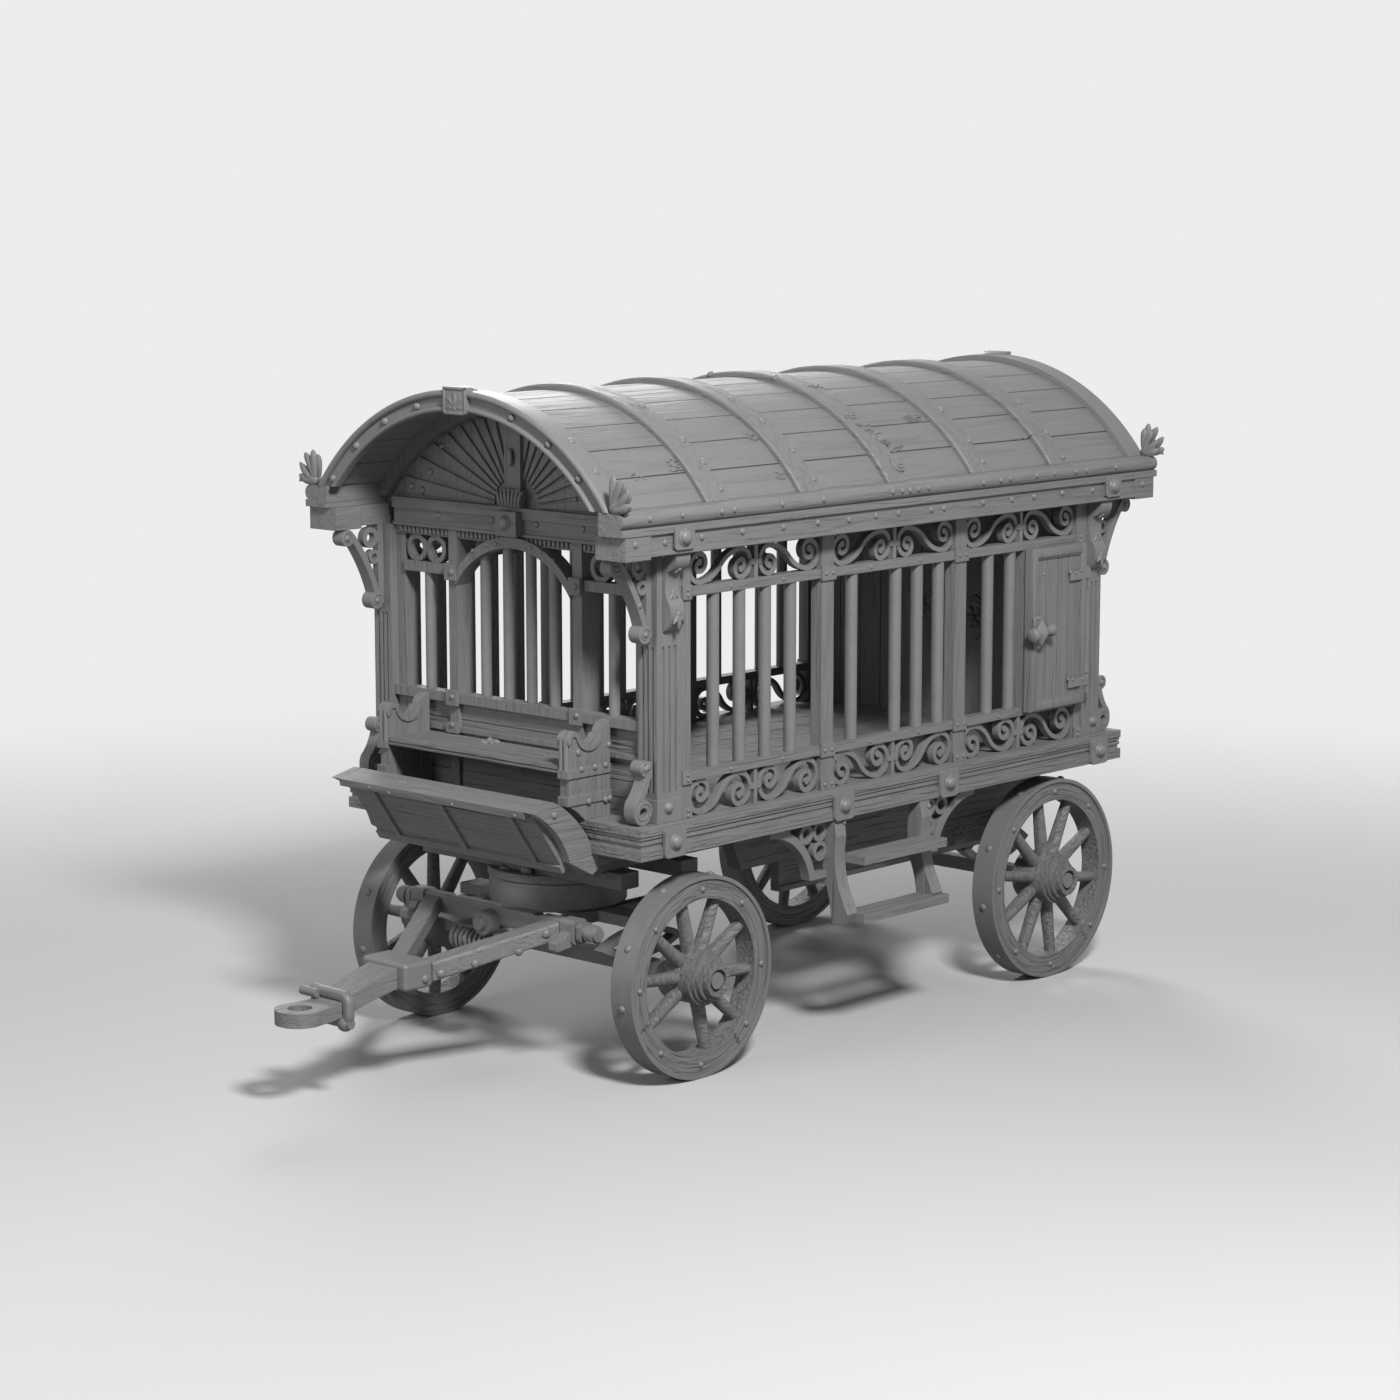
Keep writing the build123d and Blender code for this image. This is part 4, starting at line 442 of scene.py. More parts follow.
iron = forged("painted_iron", 0.205, 0.34, 0.0012)
tyre_iron = forged("tyre_iron", 0.195, 0.30, 0.0016)
carving = carved("painted_carving")
# Both finishes below are painted shade: dark colour that stands for the shadow inside the splits of the
# wheels and the hollows of the broken roof.
shadow_gap = painted_shade("shadow_gap", 40.0, 0.020, 0.050, 0.8)
painted_hollow_shade = painted_shade("painted_hollow_shade", 50.0, 0.085, 0.14, 0.7)
print("iron and carving ready")

# %% [markdown]
# ## Finishes on the construction
# Each part of the construction takes the finish that fits what it is made of and the way its boards
# run. A part's name tells both, so a short list does it. A part that isn't in the list is iron.

# %% Assign the finishes
parts_of_finish = (
    (plank_x, "roof_planks"),
    (front_timber, "front_frame"),
    (timber_x, "sill_frame chassis_beams fascia_beams eave_rails side_rails floor_joists fore_frame"),
    (timber_x, "drawbar_tongue drawbar_struts footboard_arms step_treads"),
    (timber_y, "floor_boards cross_ties rear_tie bench_seat footboard front_parapet front_bolster"),
    (timber_y, "crossbar roof_ribs"),
    (timber_z, "rear_wall front_tympanum corner_posts side_posts door_frame door_leaf bench_sides"),
    (timber_z, "step_stringers"),
    (carving, "end_arches roof_carvings roof_brackets foot_scrolls step_braces"),
)
finish_of = {name: finish for finish, names in parts_of_finish for name in names.split()}
felloe_depth = 0.112
wheel_hubs = {}
wheel_finishes = {}
for name, part in nodes.items():
    if name.startswith("wheel_"):
        low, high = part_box(name)
        hub = (Vector(low) + Vector(high)) / 2
        wheel_hubs[name] = hub
        chosen = wheel_timber("felloe_" + name, tuple(hub), hub.z - felloe_depth)
        wheel_finishes[name] = chosen
    elif name.startswith("tyre_"):
        chosen = tyre_iron
    else:
        chosen = finish_of.get(name, iron)
    part.data.materials.clear()
    part.data.materials.append(chosen.material)
print("finishes on", len(nodes), "parts;", len(wheel_hubs), "wheels")

# %% [markdown]
# ## Tools for small work
# Rivets, bolts, knobs and leaves are all small shapes that stand on a surface. `standing` gives the
# turn that stands a shape on a surface, and the helpers below press one shape each into a shared mesh,
# so all the rivets of one body are one piece. Only `finished` makes an object of such a mesh.

# %% Placing and finishing helpers
def standing(place, outward):
    """The matrix that moves a shape to a place, with its +Z outward from the surface."""
    return Matrix.Translation(Vector(place)) @ Vector(outward).to_track_quat("Z", "Y").to_matrix().to_4x4()


def finished(name, mesh, body, finish):
    """Makes a mesh a piece that rides on a body."""
    bmesh.ops.recalc_face_normals(mesh, faces=mesh.faces)
    data = bpy.data.meshes.new(name)
    mesh.to_mesh(data)
    mesh.free()
    data.polygons.foreach_set("use_smooth", [True] * len(data.polygons))
    data.set_sharp_from_angle(angle=math.radians(42))
    data.materials.append(finish.material)
    made = bpy.data.objects.new(name, data)
    scene.collection.objects.link(made)
    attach(made, body)
    print(name, len(data.polygons), "faces on", body)
    return made


def press_ball(mesh, stand, size, around=14, rings=8):
    """A ball on a stand, with its three half sizes."""
    bmesh.ops.create_uvsphere(
        mesh, u_segments=around, v_segments=rings, radius=1.0, matrix=stand @ Matrix.Diagonal((*size, 1.0)),
    )


def press_disc(mesh, stand, low, high, foot, top, around):
    """A disc or cone with flat ends, from one height to another over its stand."""
    bmesh.ops.create_cone(
        mesh, cap_ends=True, segments=around, radius1=foot, radius2=top, depth=high - low,
        matrix=stand @ Matrix.Translation((0, 0, (low + high) / 2)),
    )


def press_block(mesh, middle, size, soft=0.003, segments=2):
    """A block with rounded edges, by its middle and its size."""
    block = bmesh.ops.create_cube(mesh, size=1.0)["verts"]
    bmesh.ops.scale(mesh, vec=size, verts=block)
    bmesh.ops.translate(mesh, vec=middle, verts=block)
    edges = list({edge for corner in block for edge in corner.link_edges})
    bmesh.ops.bevel(
        mesh, geom=edges, offset=soft, affect="EDGES", segments=segments, profile=0.5, material=-1,
    )


def press_dome(mesh, place, outward, radius, rise=0.62):
    """A forged dome, half sunk: a ball flattened to its rise."""
    press_ball(mesh, standing(place, outward), (radius, radius, radius * rise))


def press_boss(mesh, place, outward, radius):
    """A large dome on a turned washer."""
    press_disc(mesh, standing(place, outward), 0, radius * 0.18, radius * 1.24, radius * 1.12, 24)
    top = Vector(place) + Vector(outward).normalized() * radius * 0.14
    press_dome(mesh, top, outward, radius, 0.72)


def press_rod(mesh, stations, across, sides=8):
    """A round rod through (place, direction, width, height) stations, closed at both ends.

    `across` is the one direction that every section shares, such as the normal of a flat scroll.
    """
    def section(station):
        place, direction, width, height = station
        ahead = Vector(direction).normalized()
        flat = Vector(across).normalized()
        side = flat.cross(ahead).normalized()
        turn = Matrix((side, flat, ahead)).transposed().to_4x4()
        return Matrix.Translation(Vector(place)) @ turn @ Matrix.Diagonal((width, height, 1.0, 1.0))

    before = section(stations[0])
    ring = bmesh.ops.create_circle(mesh, segments=sides, radius=1.0, matrix=before)["verts"]
    edges = list({edge for corner in ring for edge in corner.link_edges})
    bmesh.ops.contextual_create(mesh, geom=edges)
    for station in stations[1:]:
        grown = bmesh.ops.extrude_edge_only(mesh, edges=edges)["geom"]
        ring = [item for item in grown if isinstance(item, bmesh.types.BMVert)]
        edges = [item for item in grown if isinstance(item, bmesh.types.BMEdge)]
        after = section(station)
        bmesh.ops.transform(mesh, matrix=after @ before.inverted(), verts=ring)
        before = after
    bmesh.ops.contextual_create(mesh, geom=edges)


def press_curl(
    mesh, eye, across, start_radius, end_radius, first, last, width, height, steps=14, eye_bead=True,
):
    """A scroll in a plane: a rod that winds from the outside in to its eye, and a ball in the eye."""
    across = Vector(across).normalized()
    reference = Vector((0, 0, 1))
    side = reference.cross(across).normalized()
    stations = []
    for step in range(steps + 1):
        part = step / steps
        angle = first + (last - first) * part
        radius = start_radius + (end_radius - start_radius) * part
        spoke = side * math.cos(angle) + reference * math.sin(angle)
        ahead = (reference * math.cos(angle) - side * math.sin(angle)) * (1 if last > first else -1)
        thin = 1.0 - 0.45 * part
        stations.append((Vector(eye) + spoke * radius, ahead, width * thin, height * thin))
    press_rod(mesh, stations, across)
    if eye_bead:
        press_dome(mesh, eye, across, end_radius * 1.05, 0.7)


def press_flower(mesh, place, outward, radius, petals=6):
    """A round carved flower: a ring of petals and a bead in the middle."""
    stand = standing(place, outward)
    press_dome(mesh, place, outward, radius * 0.34, 1.3)
    for number in range(petals):
        turn = Matrix.Rotation(number * 2 * math.pi / petals, 4, "Z")
        petal = stand @ turn @ Matrix.Translation((radius * 0.58, 0, 0))
        press_ball(mesh, petal, (radius * 0.42, radius * 0.27, radius * 0.22), 12)


print("helpers ready")

# %% [markdown]
# ## Bosses on the long sides
# The sill, the fascia board and the corner posts are held by plates with one large boss each. A line
# of the list gives the face and the height where its bosses stand, their size, and how far each one is
# from the middle of the wagon.

# %% Bosses of the sides
mid_x = 0.570
post_offset = 1.697
boss_rows = (
    (1.047, 1.215, 0.034, (-post_offset, -0.461, 0.382, post_offset)),
    (1.107, 2.665, 0.036, (-post_offset, post_offset)),
    (0.995, 1.372, 0.026, (-post_offset * 0.998, post_offset * 0.998)),
)
side_bosses = bmesh.new()
for side in (-1, 1):
    for y, z, radius, offsets in boss_rows:
        for offset in offsets:
            press_boss(side_bosses, (mid_x + offset, side * y, z), (0, side, 0), radius)
finished("side_bosses", side_bosses, "wagon", iron)

# %% [markdown]
# ## Bolts of the collars and beads of the rails
# Where a rail crosses a post, an iron collar holds it with two bolts. Between the scrolls of the
# friezes the rails carry small beads.

# %% Collar bolts and rail beads
collar_bolts = bmesh.new()
rail_beads = bmesh.new()
rail_heights = (1.499, 2.385)
collar_heights = (1.328, *rail_heights, 2.575)
collar_face = 0.996
rail_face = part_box("side_rails")[1][1]
for side in (-1, 1):
    outward = (0, side, 0)
    for x in (0.040, 1.100):
        for z in collar_heights:
            for step in (-0.026, 0.026):
                press_dome(collar_bolts, (x + step, side * collar_face, z), outward, 0.0105, 0.8)
    for x in (-0.988, 2.128):
        for z in collar_heights[:3]:
            for step in (0.012, -0.014):
                press_dome(collar_bolts, (x, side * collar_face, z + step), outward, 0.010, 0.8)
    for bay_start, bay_end in ((-0.958, -0.006), (0.086, 1.054), (1.146, 2.098)):
        length = bay_end - bay_start
        for z in rail_heights:
            on_door = side < 0 and bay_start > 1.1 and z > 2
            if on_door:
                continue
            for part in (0.30, 0.70):
                press_dome(rail_beads, (bay_start + part * length, side * rail_face, z), outward, 0.011, 0.7)
finished("collar_bolts", collar_bolts, "wagon", iron)
finished("rail_beads", rail_beads, "wagon", iron)

# %% [markdown]
# ## Places read from the picture
# Many small fittings are irregular, so they are placed where the picture shows them. A line of sight
# runs from the camera through a point of the picture, and the fitting stands where that line first
# meets the part that carries it. So it sits on real timber or iron, from whatever side it is seen.
# Most fittings have a twin on the far side, at the mirrored place.

# %% Line of sight
bpy.context.view_layer.update()
surfaces = {}
missed = []
photo_middle = photo_pixels / 2
mirror = Vector((1, -1, 1))


def surface_of(name):
    """The surface of one part of the construction, ready to be hit by a ray."""
    if name not in surfaces:
        surfaces[name] = BVHTree.FromObject(nodes[name], bpy.context.evaluated_depsgraph_get())
    return surfaces[name]


def photo_spot(column, row, carrier):
    """The place on a part that one point of the picture shows, and the way that surface faces.

    Where the line just misses the part, lines up to 7 pixels beside it are tried too.
    """
    turn = camera.matrix_world.to_3x3()
    for reach in (0, 2, 4, 7):
        for across, down in ((0, 0), (0, 1), (0, -1), (1, 0), (-1, 0)):
            right = column + across * reach - photo_middle
            up = photo_middle - row - down * reach
            ray = turn @ Vector((right / focal_pixels, up / focal_pixels, -1.0))
            place, outward, _, _ = surface_of(carrier).ray_cast(camera_place, ray.normalized())
            if place is not None:
                return place, outward if outward.dot(ray) < 0 else -outward
    missed.append((column, row, carrier))
    return None, None


def rivet_from_photo(meshes, column, row, carrier, radius, twin=True, rise=0.65):
    """Sets one rivet, and its twin on the far side, in the mesh of the body that carries them."""
    place, outward = photo_spot(column, row, carrier)
    if place is None:
        return
    body = body_of(nodes[carrier])[0]
    mesh = meshes.setdefault(body, bmesh.new())
    press_dome(mesh, place, outward, radius, rise)
    if twin:
        press_dome(mesh, place * mirror, outward * mirror, radius, rise)


print("line of sight ready")

# %% [markdown]
# ## Rivets
# The rivets weren't set with a ruler: some stand in pairs, and each is a little off its line. Each line
# of the list is one part: its name, the size of its rivets, whether the far side has the same ones, and
# then the points of the picture where they are.

# %% Rivets placed by the picture
photo_rivets = [
    ("eave_rails", 0.0150, True, [
        (650, 519), (682.5, 515), (722, 511.5), (734.5, 509.5), (782.5, 504), (824, 499.5), (893, 491.5),
        (902.5, 490.5), (910.5, 490), (918.5, 489), (928.5, 487.5), (984, 482.5), (1001, 480),
        (1010.5, 478.5), (1037, 475.5), (1054.5, 473), (1076, 471.5), (1086.5, 470), (1116, 467),
    ]),
    ("fascia_beams", 0.0175, True, [
        (635.5, 545), (665, 542.5), (702, 537), (742.5, 531.5), (783.5, 527), (818, 522.5), (849, 519.5),
        (876, 515.5), (898.5, 513), (931.5, 509.5), (944, 508), (983, 502.5), (1012, 499.5), (1034, 496.5),
        (1062.5, 493), (1092.5, 490), (1142.5, 484),
    ]),
    ("front_frame", 0.0170, False, [
        (438.3, 515.3), (492, 520), (536.3, 525), (583, 529.3), (451.3, 572), (575, 586.8),
    ]),
    ("front_frame", 0.0120, False, [
        (472.5, 550.8), (486.8, 545), (495.5, 543.8), (530.5, 548), (540.8, 551.8), (553.8, 560),
    ]),
    ("front_tympanum", 0.0200, False, [
        (411.8, 486.3), (422.5, 490), (430.5, 471.8), (442, 446.3), (575, 500), (568, 478), (556, 455),
    ]),
    ("front_frame", 0.0150, False, [(452, 697), (452, 725), (576.3, 715.8)]),
    ("bench_sides", 0.0185, True, [(578.3, 752.5)]),
    ("bench_sides", 0.0165, True, [
        (581.8, 769.3), (594.8, 766.8), (605.8, 764.8), (589.3, 801.3), (605.8, 799.5), (617, 798),
        (611, 744.5),
    ]),
    ("footboard_arms", 0.0190, True, [(554.3, 815.5)]),
    ("footboard", 0.0095, False, [
        (388.8, 793), (400, 805.8), (451.8, 804.5), (462, 817.5), (472.8, 831.3), (514.5, 815.8),
        (526.3, 829.3), (536.5, 843), (562.5, 853), (369.5, 787.5),
    ]),
    ("front_bolster", 0.0370, False, [(507, 868), (526.5, 870.5)]),
    ("front_bolster", 0.0200, True, [(604.3, 875.5)]),
    ("foot_scrolls", 0.0180, True, [(648, 767.5)]),
    ("roof_brackets", 0.0140, True, [(663, 556), (640, 606)]),
    ("drawbar_struts", 0.0210, True, [(475.3, 963.8), (519, 954.3)]),
    ("drawbar_clamp", 0.0230, True, [(425.3, 979)]),
    ("drawbar_struts", 0.0225, True, [(441, 973.8), (546.3, 933.8)]),
    ("crossbar", 0.0220, False, [(500, 905)]),
    ("crossbar_hooks", 0.0170, True, [(598, 944.5)]),
    ("door_straps", 0.0105, False, [
        (1070.5, 570.5), (1075.5, 570.5), (1080.8, 570.5), (1068, 679.5), (1072.5, 679.5), (1083, 678.8),
    ]),
    ("door_leaf", 0.0085, False, [
        (1043.8, 557), (1043.8, 574.5), (1059, 555.5), (1072.5, 552), (1086.3, 550.5), (1042, 702.5),
    ]),
    ("step_stringers", 0.0150, False, [(851, 822), (931, 806)]),
]
photo_meshes = {}
for carrier, radius, twin, spots in photo_rivets:
    for column, row in spots:
        rivet_from_photo(photo_meshes, column, row, carrier, radius, twin)
for body, mesh in photo_meshes.items():
    finished("small_rivets_" + body, mesh, body, iron)
print("missed", missed)

# %% [markdown]
# ## Rivets of the ribs and of the end arches
# The studs of the five ribs are not in rows either. The picture shows the near half, and the far
# half takes the mirrored places. One rib also carries a round washer in three steps.

# %% Studs of the roof
rib_studs = [
    (641.5, 406), (682.5, 440), (703.5, 460), (725, 488.5), (731.5, 399), (762.5, 421), (792.5, 450),
    (816, 478.5), (775, 377.5), (941, 406), (969, 433.5), (990, 461.5), (1019, 395), (1046.5, 425),
    (1070, 456.5), (865, 402), (880, 437),
]
arch_spots = [(596, 471), (630, 506), (571.5, 441), (1070, 365), (1097.5, 388.5), (1125, 417.5)]
roof_meshes = {}
for column, row in rib_studs:
    rivet_from_photo(roof_meshes, column, row, "roof_ribs", 0.0190, True, 0.55)
for column, row in arch_spots:
    rivet_from_photo(roof_meshes, column, row, "end_arches", 0.0220, True, 0.45)
roof_mesh = roof_meshes["wagon"]
washer_place, washer_out = photo_spot(901.5, 465, "roof_ribs")
for wide, rise in ((0.046, 0.010), (0.032, 0.018), (0.014, 0.026)):
    press_disc(roof_mesh, standing(washer_place, washer_out), 0, rise, wide, wide * 0.9, 20)
finished("roof_studs", roof_mesh, "wagon", iron)

arch_studs = bmesh.new()
arch_centre_z, stud_circle, arch_face = 2.0795, 1.182, 2.088
for end in (-1, 1):
    for degrees in (-55, -43, -31, -18, 14, 26, 38, 50):
        angle = math.radians(-end * degrees)
        spoke = Vector((0, math.sin(angle), math.cos(angle)))
        place = Vector((mid_x + end * arch_face, 0, arch_centre_z)) + spoke * stud_circle
        press_dome(arch_studs, place, (end, 0, 0), 0.0205, 0.9)
finished("arch_studs", arch_studs, "wagon", iron)

# %% [markdown]
# ## Middle bosses of the front
# The middle block of the lintel carries one large boss, and the post above it a tall oval one. A
# fluted foot, like a small fan of leaves, stands under that post.

# %% Front bosses
front_bosses = bmesh.new()
place, outward = photo_spot(504.5, 523, "front_frame")
press_boss(front_bosses, place, outward, 0.033)
post_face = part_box("front_tympanum")[0][0]
press_ball(front_bosses, Matrix.Translation((post_face + 0.002, 0.0, 2.975)), (0.013, 0.018, 0.046))
for number in range(7):
    y = (number - 3) * 0.0205
    lean = (number - 3) * 0.006
    press_rod(front_bosses, [
        ((post_face + 0.001, y, 2.735), (0, 0, 1), 0.010, 0.010),
        ((post_face - 0.004, y + lean * 0.3, 2.765), (0, lean, 0.03), 0.0105, 0.013),
        ((post_face - 0.004, y + lean, 2.800), (0, lean, 0.03), 0.0095, 0.012),
        ((post_face + 0.001, y + lean * 1.6, 2.832 - abs(lean)), (0, lean, 0.03), 0.003, 0.004),
    ], (1, 0, 0), 8)
finished("front_bosses", front_bosses, "wagon", carving)

# %% [markdown]
# ## Teeth of the lintel
# A row of small teeth runs along the set-back moulding under the lintel.

# %% Teeth of the lintel
lintel_teeth = bmesh.new()
tooth_pitch = 0.030
for number in range(-27, 28):
    press_block(lintel_teeth, (-1.1525, number * tooth_pitch, 2.571), (0.013, 0.017, 0.030), 0.0025, 1)
finished("lintel_teeth", lintel_teeth, "wagon", carving)

# %% [markdown]
# ## Leaves and crown blocks
# The corners of the roof end in carved leaves, like a hand with its fingers curled back, and a framed
# block with a small palm leaf closes the crown of each end arch. In the construction they are plain
# shapes, which the carved pieces here replace. Each finger is a rod that swells and runs to a point.

# %% Corner leaves
finger_profile = (
    (0.0, 0.7), (0.2, 0.95), (0.45, 1.12), (0.68, 1.10), (0.86, 0.82), (0.96, 0.42), (1.0, 0.08),
)


def press_finger(mesh, root, tip, swell, across, thick):
    """One finger of a leaf: it leaves the root upright, bends over and ends in a point."""
    root, tip = Vector(root), Vector(tip)
    middle = (root + tip) / 2 + Vector((0, 0, 1)) * swell
    stations = []
    for part, width in finger_profile:
        place = root * (1 - part) ** 2 + middle * 2 * part * (1 - part) + tip * part ** 2
        ahead = (middle - root) * (1 - part) + (tip - middle) * part
        stations.append((place, ahead, thick * width, thick * width * 0.74))
    press_rod(mesh, stations, across, 10)


leaf_root_y = 1.009
leaf_reach = 0.151
eave_top = 2.800
fingers = ((0.90, 0.046, -0.010), (0.86, 0.108, -0.020), (0.60, 0.158, 0.024), (0.20, 0.176, 0.016))
leaves = bmesh.new()
for end in (-1, 1):
    for side in (-1, 1):
        for inset, scale in ((0.0178, 1.0), (0.0460, 0.86)):
            x = mid_x + end * (2.120 - inset)
            for number, (out, up, swell) in enumerate(fingers):
                root_y = leaf_root_y + 0.030 - 0.004 * number
                root = (x, side * root_y, eave_top + 0.012 + 0.010 * number)
                tip = (x, side * (leaf_root_y + leaf_reach * out * scale), eave_top + up * scale)
                press_finger(leaves, root, tip, swell, (1, 0, 0), 0.0190)
            palm = Matrix.Translation((x, side * (leaf_root_y + 0.040), eave_top + 0.026))
            press_ball(leaves, palm, (0.0148, 0.040, 0.028))
        curl_x = mid_x + end * 2.106
        press_curl(
            leaves, (curl_x, side * (leaf_root_y + 0.100), eave_top + 0.020), (end, 0, 0),
            0.022, 0.009, math.radians(200), math.radians(-60), 0.007, 0.011, 8,
        )
leaf_piece = finished("corner_leaves", leaves, "wagon", carving)

# %% Crown blocks
crown_height = 3.266
block_x, frame_x, palm_x, saddle_x = 2.086, 2.113, 2.1095, 2.052
wide, high, strip = 0.156, 0.132, 0.014
palm_leaves = (
    (0, 0.078, 0.0150), (42, 0.078, 0.0140), (-42, 0.078, 0.0140), (84, 0.056, 0.0120), (-84, 0.056, 0.0120),
)
crowns = bmesh.new()
for end in (-1, 1):
    out = Vector((end, 0, 0))
    press_block(crowns, (mid_x + end * block_x, 0, crown_height), (0.056, wide, high), 0.010, 3)
    for edge in (-1, 1):
        across = (mid_x + end * frame_x, 0, crown_height + edge * (high - strip) / 2)
        upright = (mid_x + end * frame_x, edge * (wide - strip) / 2, crown_height)
        press_block(crowns, across, (0.012, wide, strip), 0.004)
        press_block(crowns, upright, (0.012, strip, high), 0.004)
    root = Vector((mid_x + end * palm_x, 0, crown_height - 0.034))
    for lean, reach, thick in palm_leaves:
        angle = math.radians(lean)
        way = Vector((0, math.sin(angle), math.cos(angle)))
        fall = Vector((0, math.copysign(0.010, lean) if lean else 0.0, -0.008 if lean else 0.0))
        press_rod(crowns, [
            (root, way, thick * 0.4, thick * 0.4),
            (root + way * reach * 0.3, way, thick * 0.85, thick * 0.6),
            (root + way * reach * 0.65, way, thick, thick * 0.62),
            (root + way * reach * 0.9 + fall * 0.6, way + fall * 20, thick * 0.7, thick * 0.5),
            (root + way * reach + fall, way + fall * 40, thick * 0.15, thick * 0.2),
        ], (1, 0, 0), 10)
    for side in (-1, 1):
        press_curl(
            crowns, root + Vector((0, side * 0.040, -0.004)), out, 0.015, 0.006,
            math.radians(90), math.radians(90 - side * 400), 0.0048, 0.0070, 10,
        )
    press_dome(crowns, root + Vector((0, 0, -0.004)), out, 0.013, 0.7)
    saddle = Matrix.Translation((mid_x + end * saddle_x, 0, 3.308))
    press_ball(crowns, saddle, (0.060, 0.085, 0.026), 20, 12)
crown_piece = finished("crown_blocks", crowns, "wagon", carving)
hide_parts("roof_carvings")
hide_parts("roof_carvings")

# %% [markdown]
# ## Leaves of the brackets
# Under each corner of the roof a bracket carries the overhang. A carver has cut three small leaves into
# the outer face of its block, one over the other, each with three lobes and a bead at its root.

# %% Bracket carving
bracket_carving = bmesh.new()
leaf_x = 1.676


def carve_console(x, side, z, size):
    """A leaf of three lobes, standing where the console's outer face really is."""
    start = Vector((x, side * 1.4, z))
    place, outward, _, _ = surface_of("roof_brackets").ray_cast(start, Vector((0, -side, 0)), 0.6)
    if place is None:
        return
    if outward.y * side < 0:
        outward = -outward
    sideways = Vector((1, 0, 0))
    down = sideways.cross(outward).normalized()
    if down.z > 0:
        down = -down
    for spread in (-0.75, 0.0, 0.75):
        way = (down + sideways * spread).normalized()
        reach = size * (1.0 if spread == 0 else 0.8)
        press_rod(bracket_carving, [
            (place, way, size * 0.08, size * 0.08),
            (place + way * reach * 0.35, way, size * 0.17, size * 0.20),
            (place + way * reach * 0.7, way, size * 0.15, size * 0.20),
            (place + way * reach, way, size * 0.03, size * 0.05),
        ], outward, 8)
    press_dome(bracket_carving, place, outward, size * 0.20, 0.9)


for end in (-1, 1):
    for side in (-1, 1):
        for z, size in ((2.300, 0.075), (2.400, 0.060), (2.510, 0.050)):
            carve_console(mid_x + end * leaf_x, side, z, size)
finished("bracket_carving", bracket_carving, "wagon", carving)

# %% [markdown]
# ## Scroll ends
# The brackets and the scrolls at the foot of the posts end in rolls. On both flat ends of each roll a
# raised band winds in to the eye, as the edge of a rolled-up sheet does.

# %% Scroll ends
scroll_ends = bmesh.new()
post_end = 1.759
scroll_middle = 0.930
half_roll = 0.035
rolls = (
    (post_end + 0.058, 2.206, 0.036, 1), (2.008, 2.535, 0.034, -1),
    (post_end + 0.056, 1.570, 0.030, -1), (post_end + 0.074, 1.362, 0.053, 1),
)
for end in (-1, 1):
    for side in (-1, 1):
        for reach, z, radius, hand_way in rolls:
            wide = radius > 0.05
            for face in (-1, 1):
                eye = (mid_x + end * reach, side * scroll_middle + face * half_roll, z)
                winding = end * face * hand_way
                press_curl(
                    scroll_ends, eye, (0, face, 0), radius, 0.027 if wide else 0.015,
                    math.radians(90 - winding * 120), math.radians(90 + winding * 330),
                    0.0060, 0.0050, 20, eye_bead=not wide,
                )
finished("scroll_ends", scroll_ends, "wagon", carving)

# %% [markdown]
# ## Rivets and splits of the wheels
# Eight rivets hold each felloe ring from its outer face, and ten more hold the tyre on the tread. The
# dry timber has split: the left front wheel shows two splits and the left rear wheel one, and the
# right rear wheel gets one as well. A split is a thin seam between two raised lips, which runs
# over the face of the felloe. The seam is painted shade: a dark rod that stands for the shadow inside the
# crack.

# %% Wheel rivets and splits
def spoke_way(degrees):
    """The way that a spoke at this angle points."""
    angle = math.radians(degrees)
    return Vector((math.cos(angle), 0, math.sin(angle)))


def wheel_face(name, reach, spoke):
    """The place on a wheel's outer face, at this distance from its hub."""
    hub = wheel_hubs[name]
    side = math.copysign(1, hub.y)
    start = Vector((hub.x, side * 1.5, hub.z)) + spoke * reach
    return surface_of(name).ray_cast(start, Vector((0, -side, 0)))[0]


tread_angles = (155, 189, 224, 257, 290, 325, 1, 38, 75, 115)
tread_middle = 0.9155
for name, hub in wheel_hubs.items():
    side = math.copysign(1, hub.y)
    wheel_radius = hub.z
    mesh = bmesh.new()
    for number in range(8):
        spoke = spoke_way(90 + 45 * number + (3 if number % 2 else -1))
        press_dome(mesh, wheel_face(name, wheel_radius - 0.067, spoke), (0, side, 0), 0.0165, 0.85)
    for degrees in tread_angles:
        spoke = spoke_way(degrees)
        place = Vector((hub.x, side * tread_middle, hub.z)) + spoke * (wheel_radius - 0.001)
        press_dome(mesh, place, spoke, 0.0205, 0.6)
    finished("rivets_" + name, mesh, body_of(nodes[name])[0], tyre_iron)

splits = [
    ("wheel_front_left", -55), ("wheel_front_left", 203), ("wheel_rear_left", -52), ("wheel_rear_right", 70),
]
lip_offset = 0.00558
hand = random.Random(3)
lips, gaps = {}, {}
for name, degrees in splits:
    hub = wheel_hubs[name]
    side = math.copysign(1, hub.y)
    route = []
    for step in range(7):
        spoke = spoke_way(degrees + (step % 2) * 1.6 + hand.uniform(-0.5, 0.5))
        place = wheel_face(name, hub.z - 0.106 + step * 0.0145, spoke)
        if place is not None:
            route.append(place)
    ahead = spoke_way(degrees)
    beside = Vector((-ahead.z, 0, ahead.x)) * lip_offset
    for shift, store, wide, lift in (
        (-1, lips, 0.0042, 0.0), (1, lips, 0.0042, 0.0), (0, gaps, 0.0032, 0.0012),
    ):
        mesh = store.setdefault(name, bmesh.new())
        stations = []
        for number, place in enumerate(route):
            taper = 0.25 if number in (0, len(route) - 1) else 1.0
            spot = place + beside * shift + Vector((0, side * lift, 0))
            stations.append((spot, ahead, wide * taper, wide * taper * 0.8))
        press_rod(mesh, stations, (0, side, 0), 6)
for name, mesh in lips.items():
    finished("split_lips_" + name, mesh, body_of(nodes[name])[0], wheel_finishes[name])
# The seams are painted shade: dark rods for the shadow inside each split.
for name, mesh in gaps.items():
    finished("split_" + name, mesh, body_of(nodes[name])[0], shadow_gap)

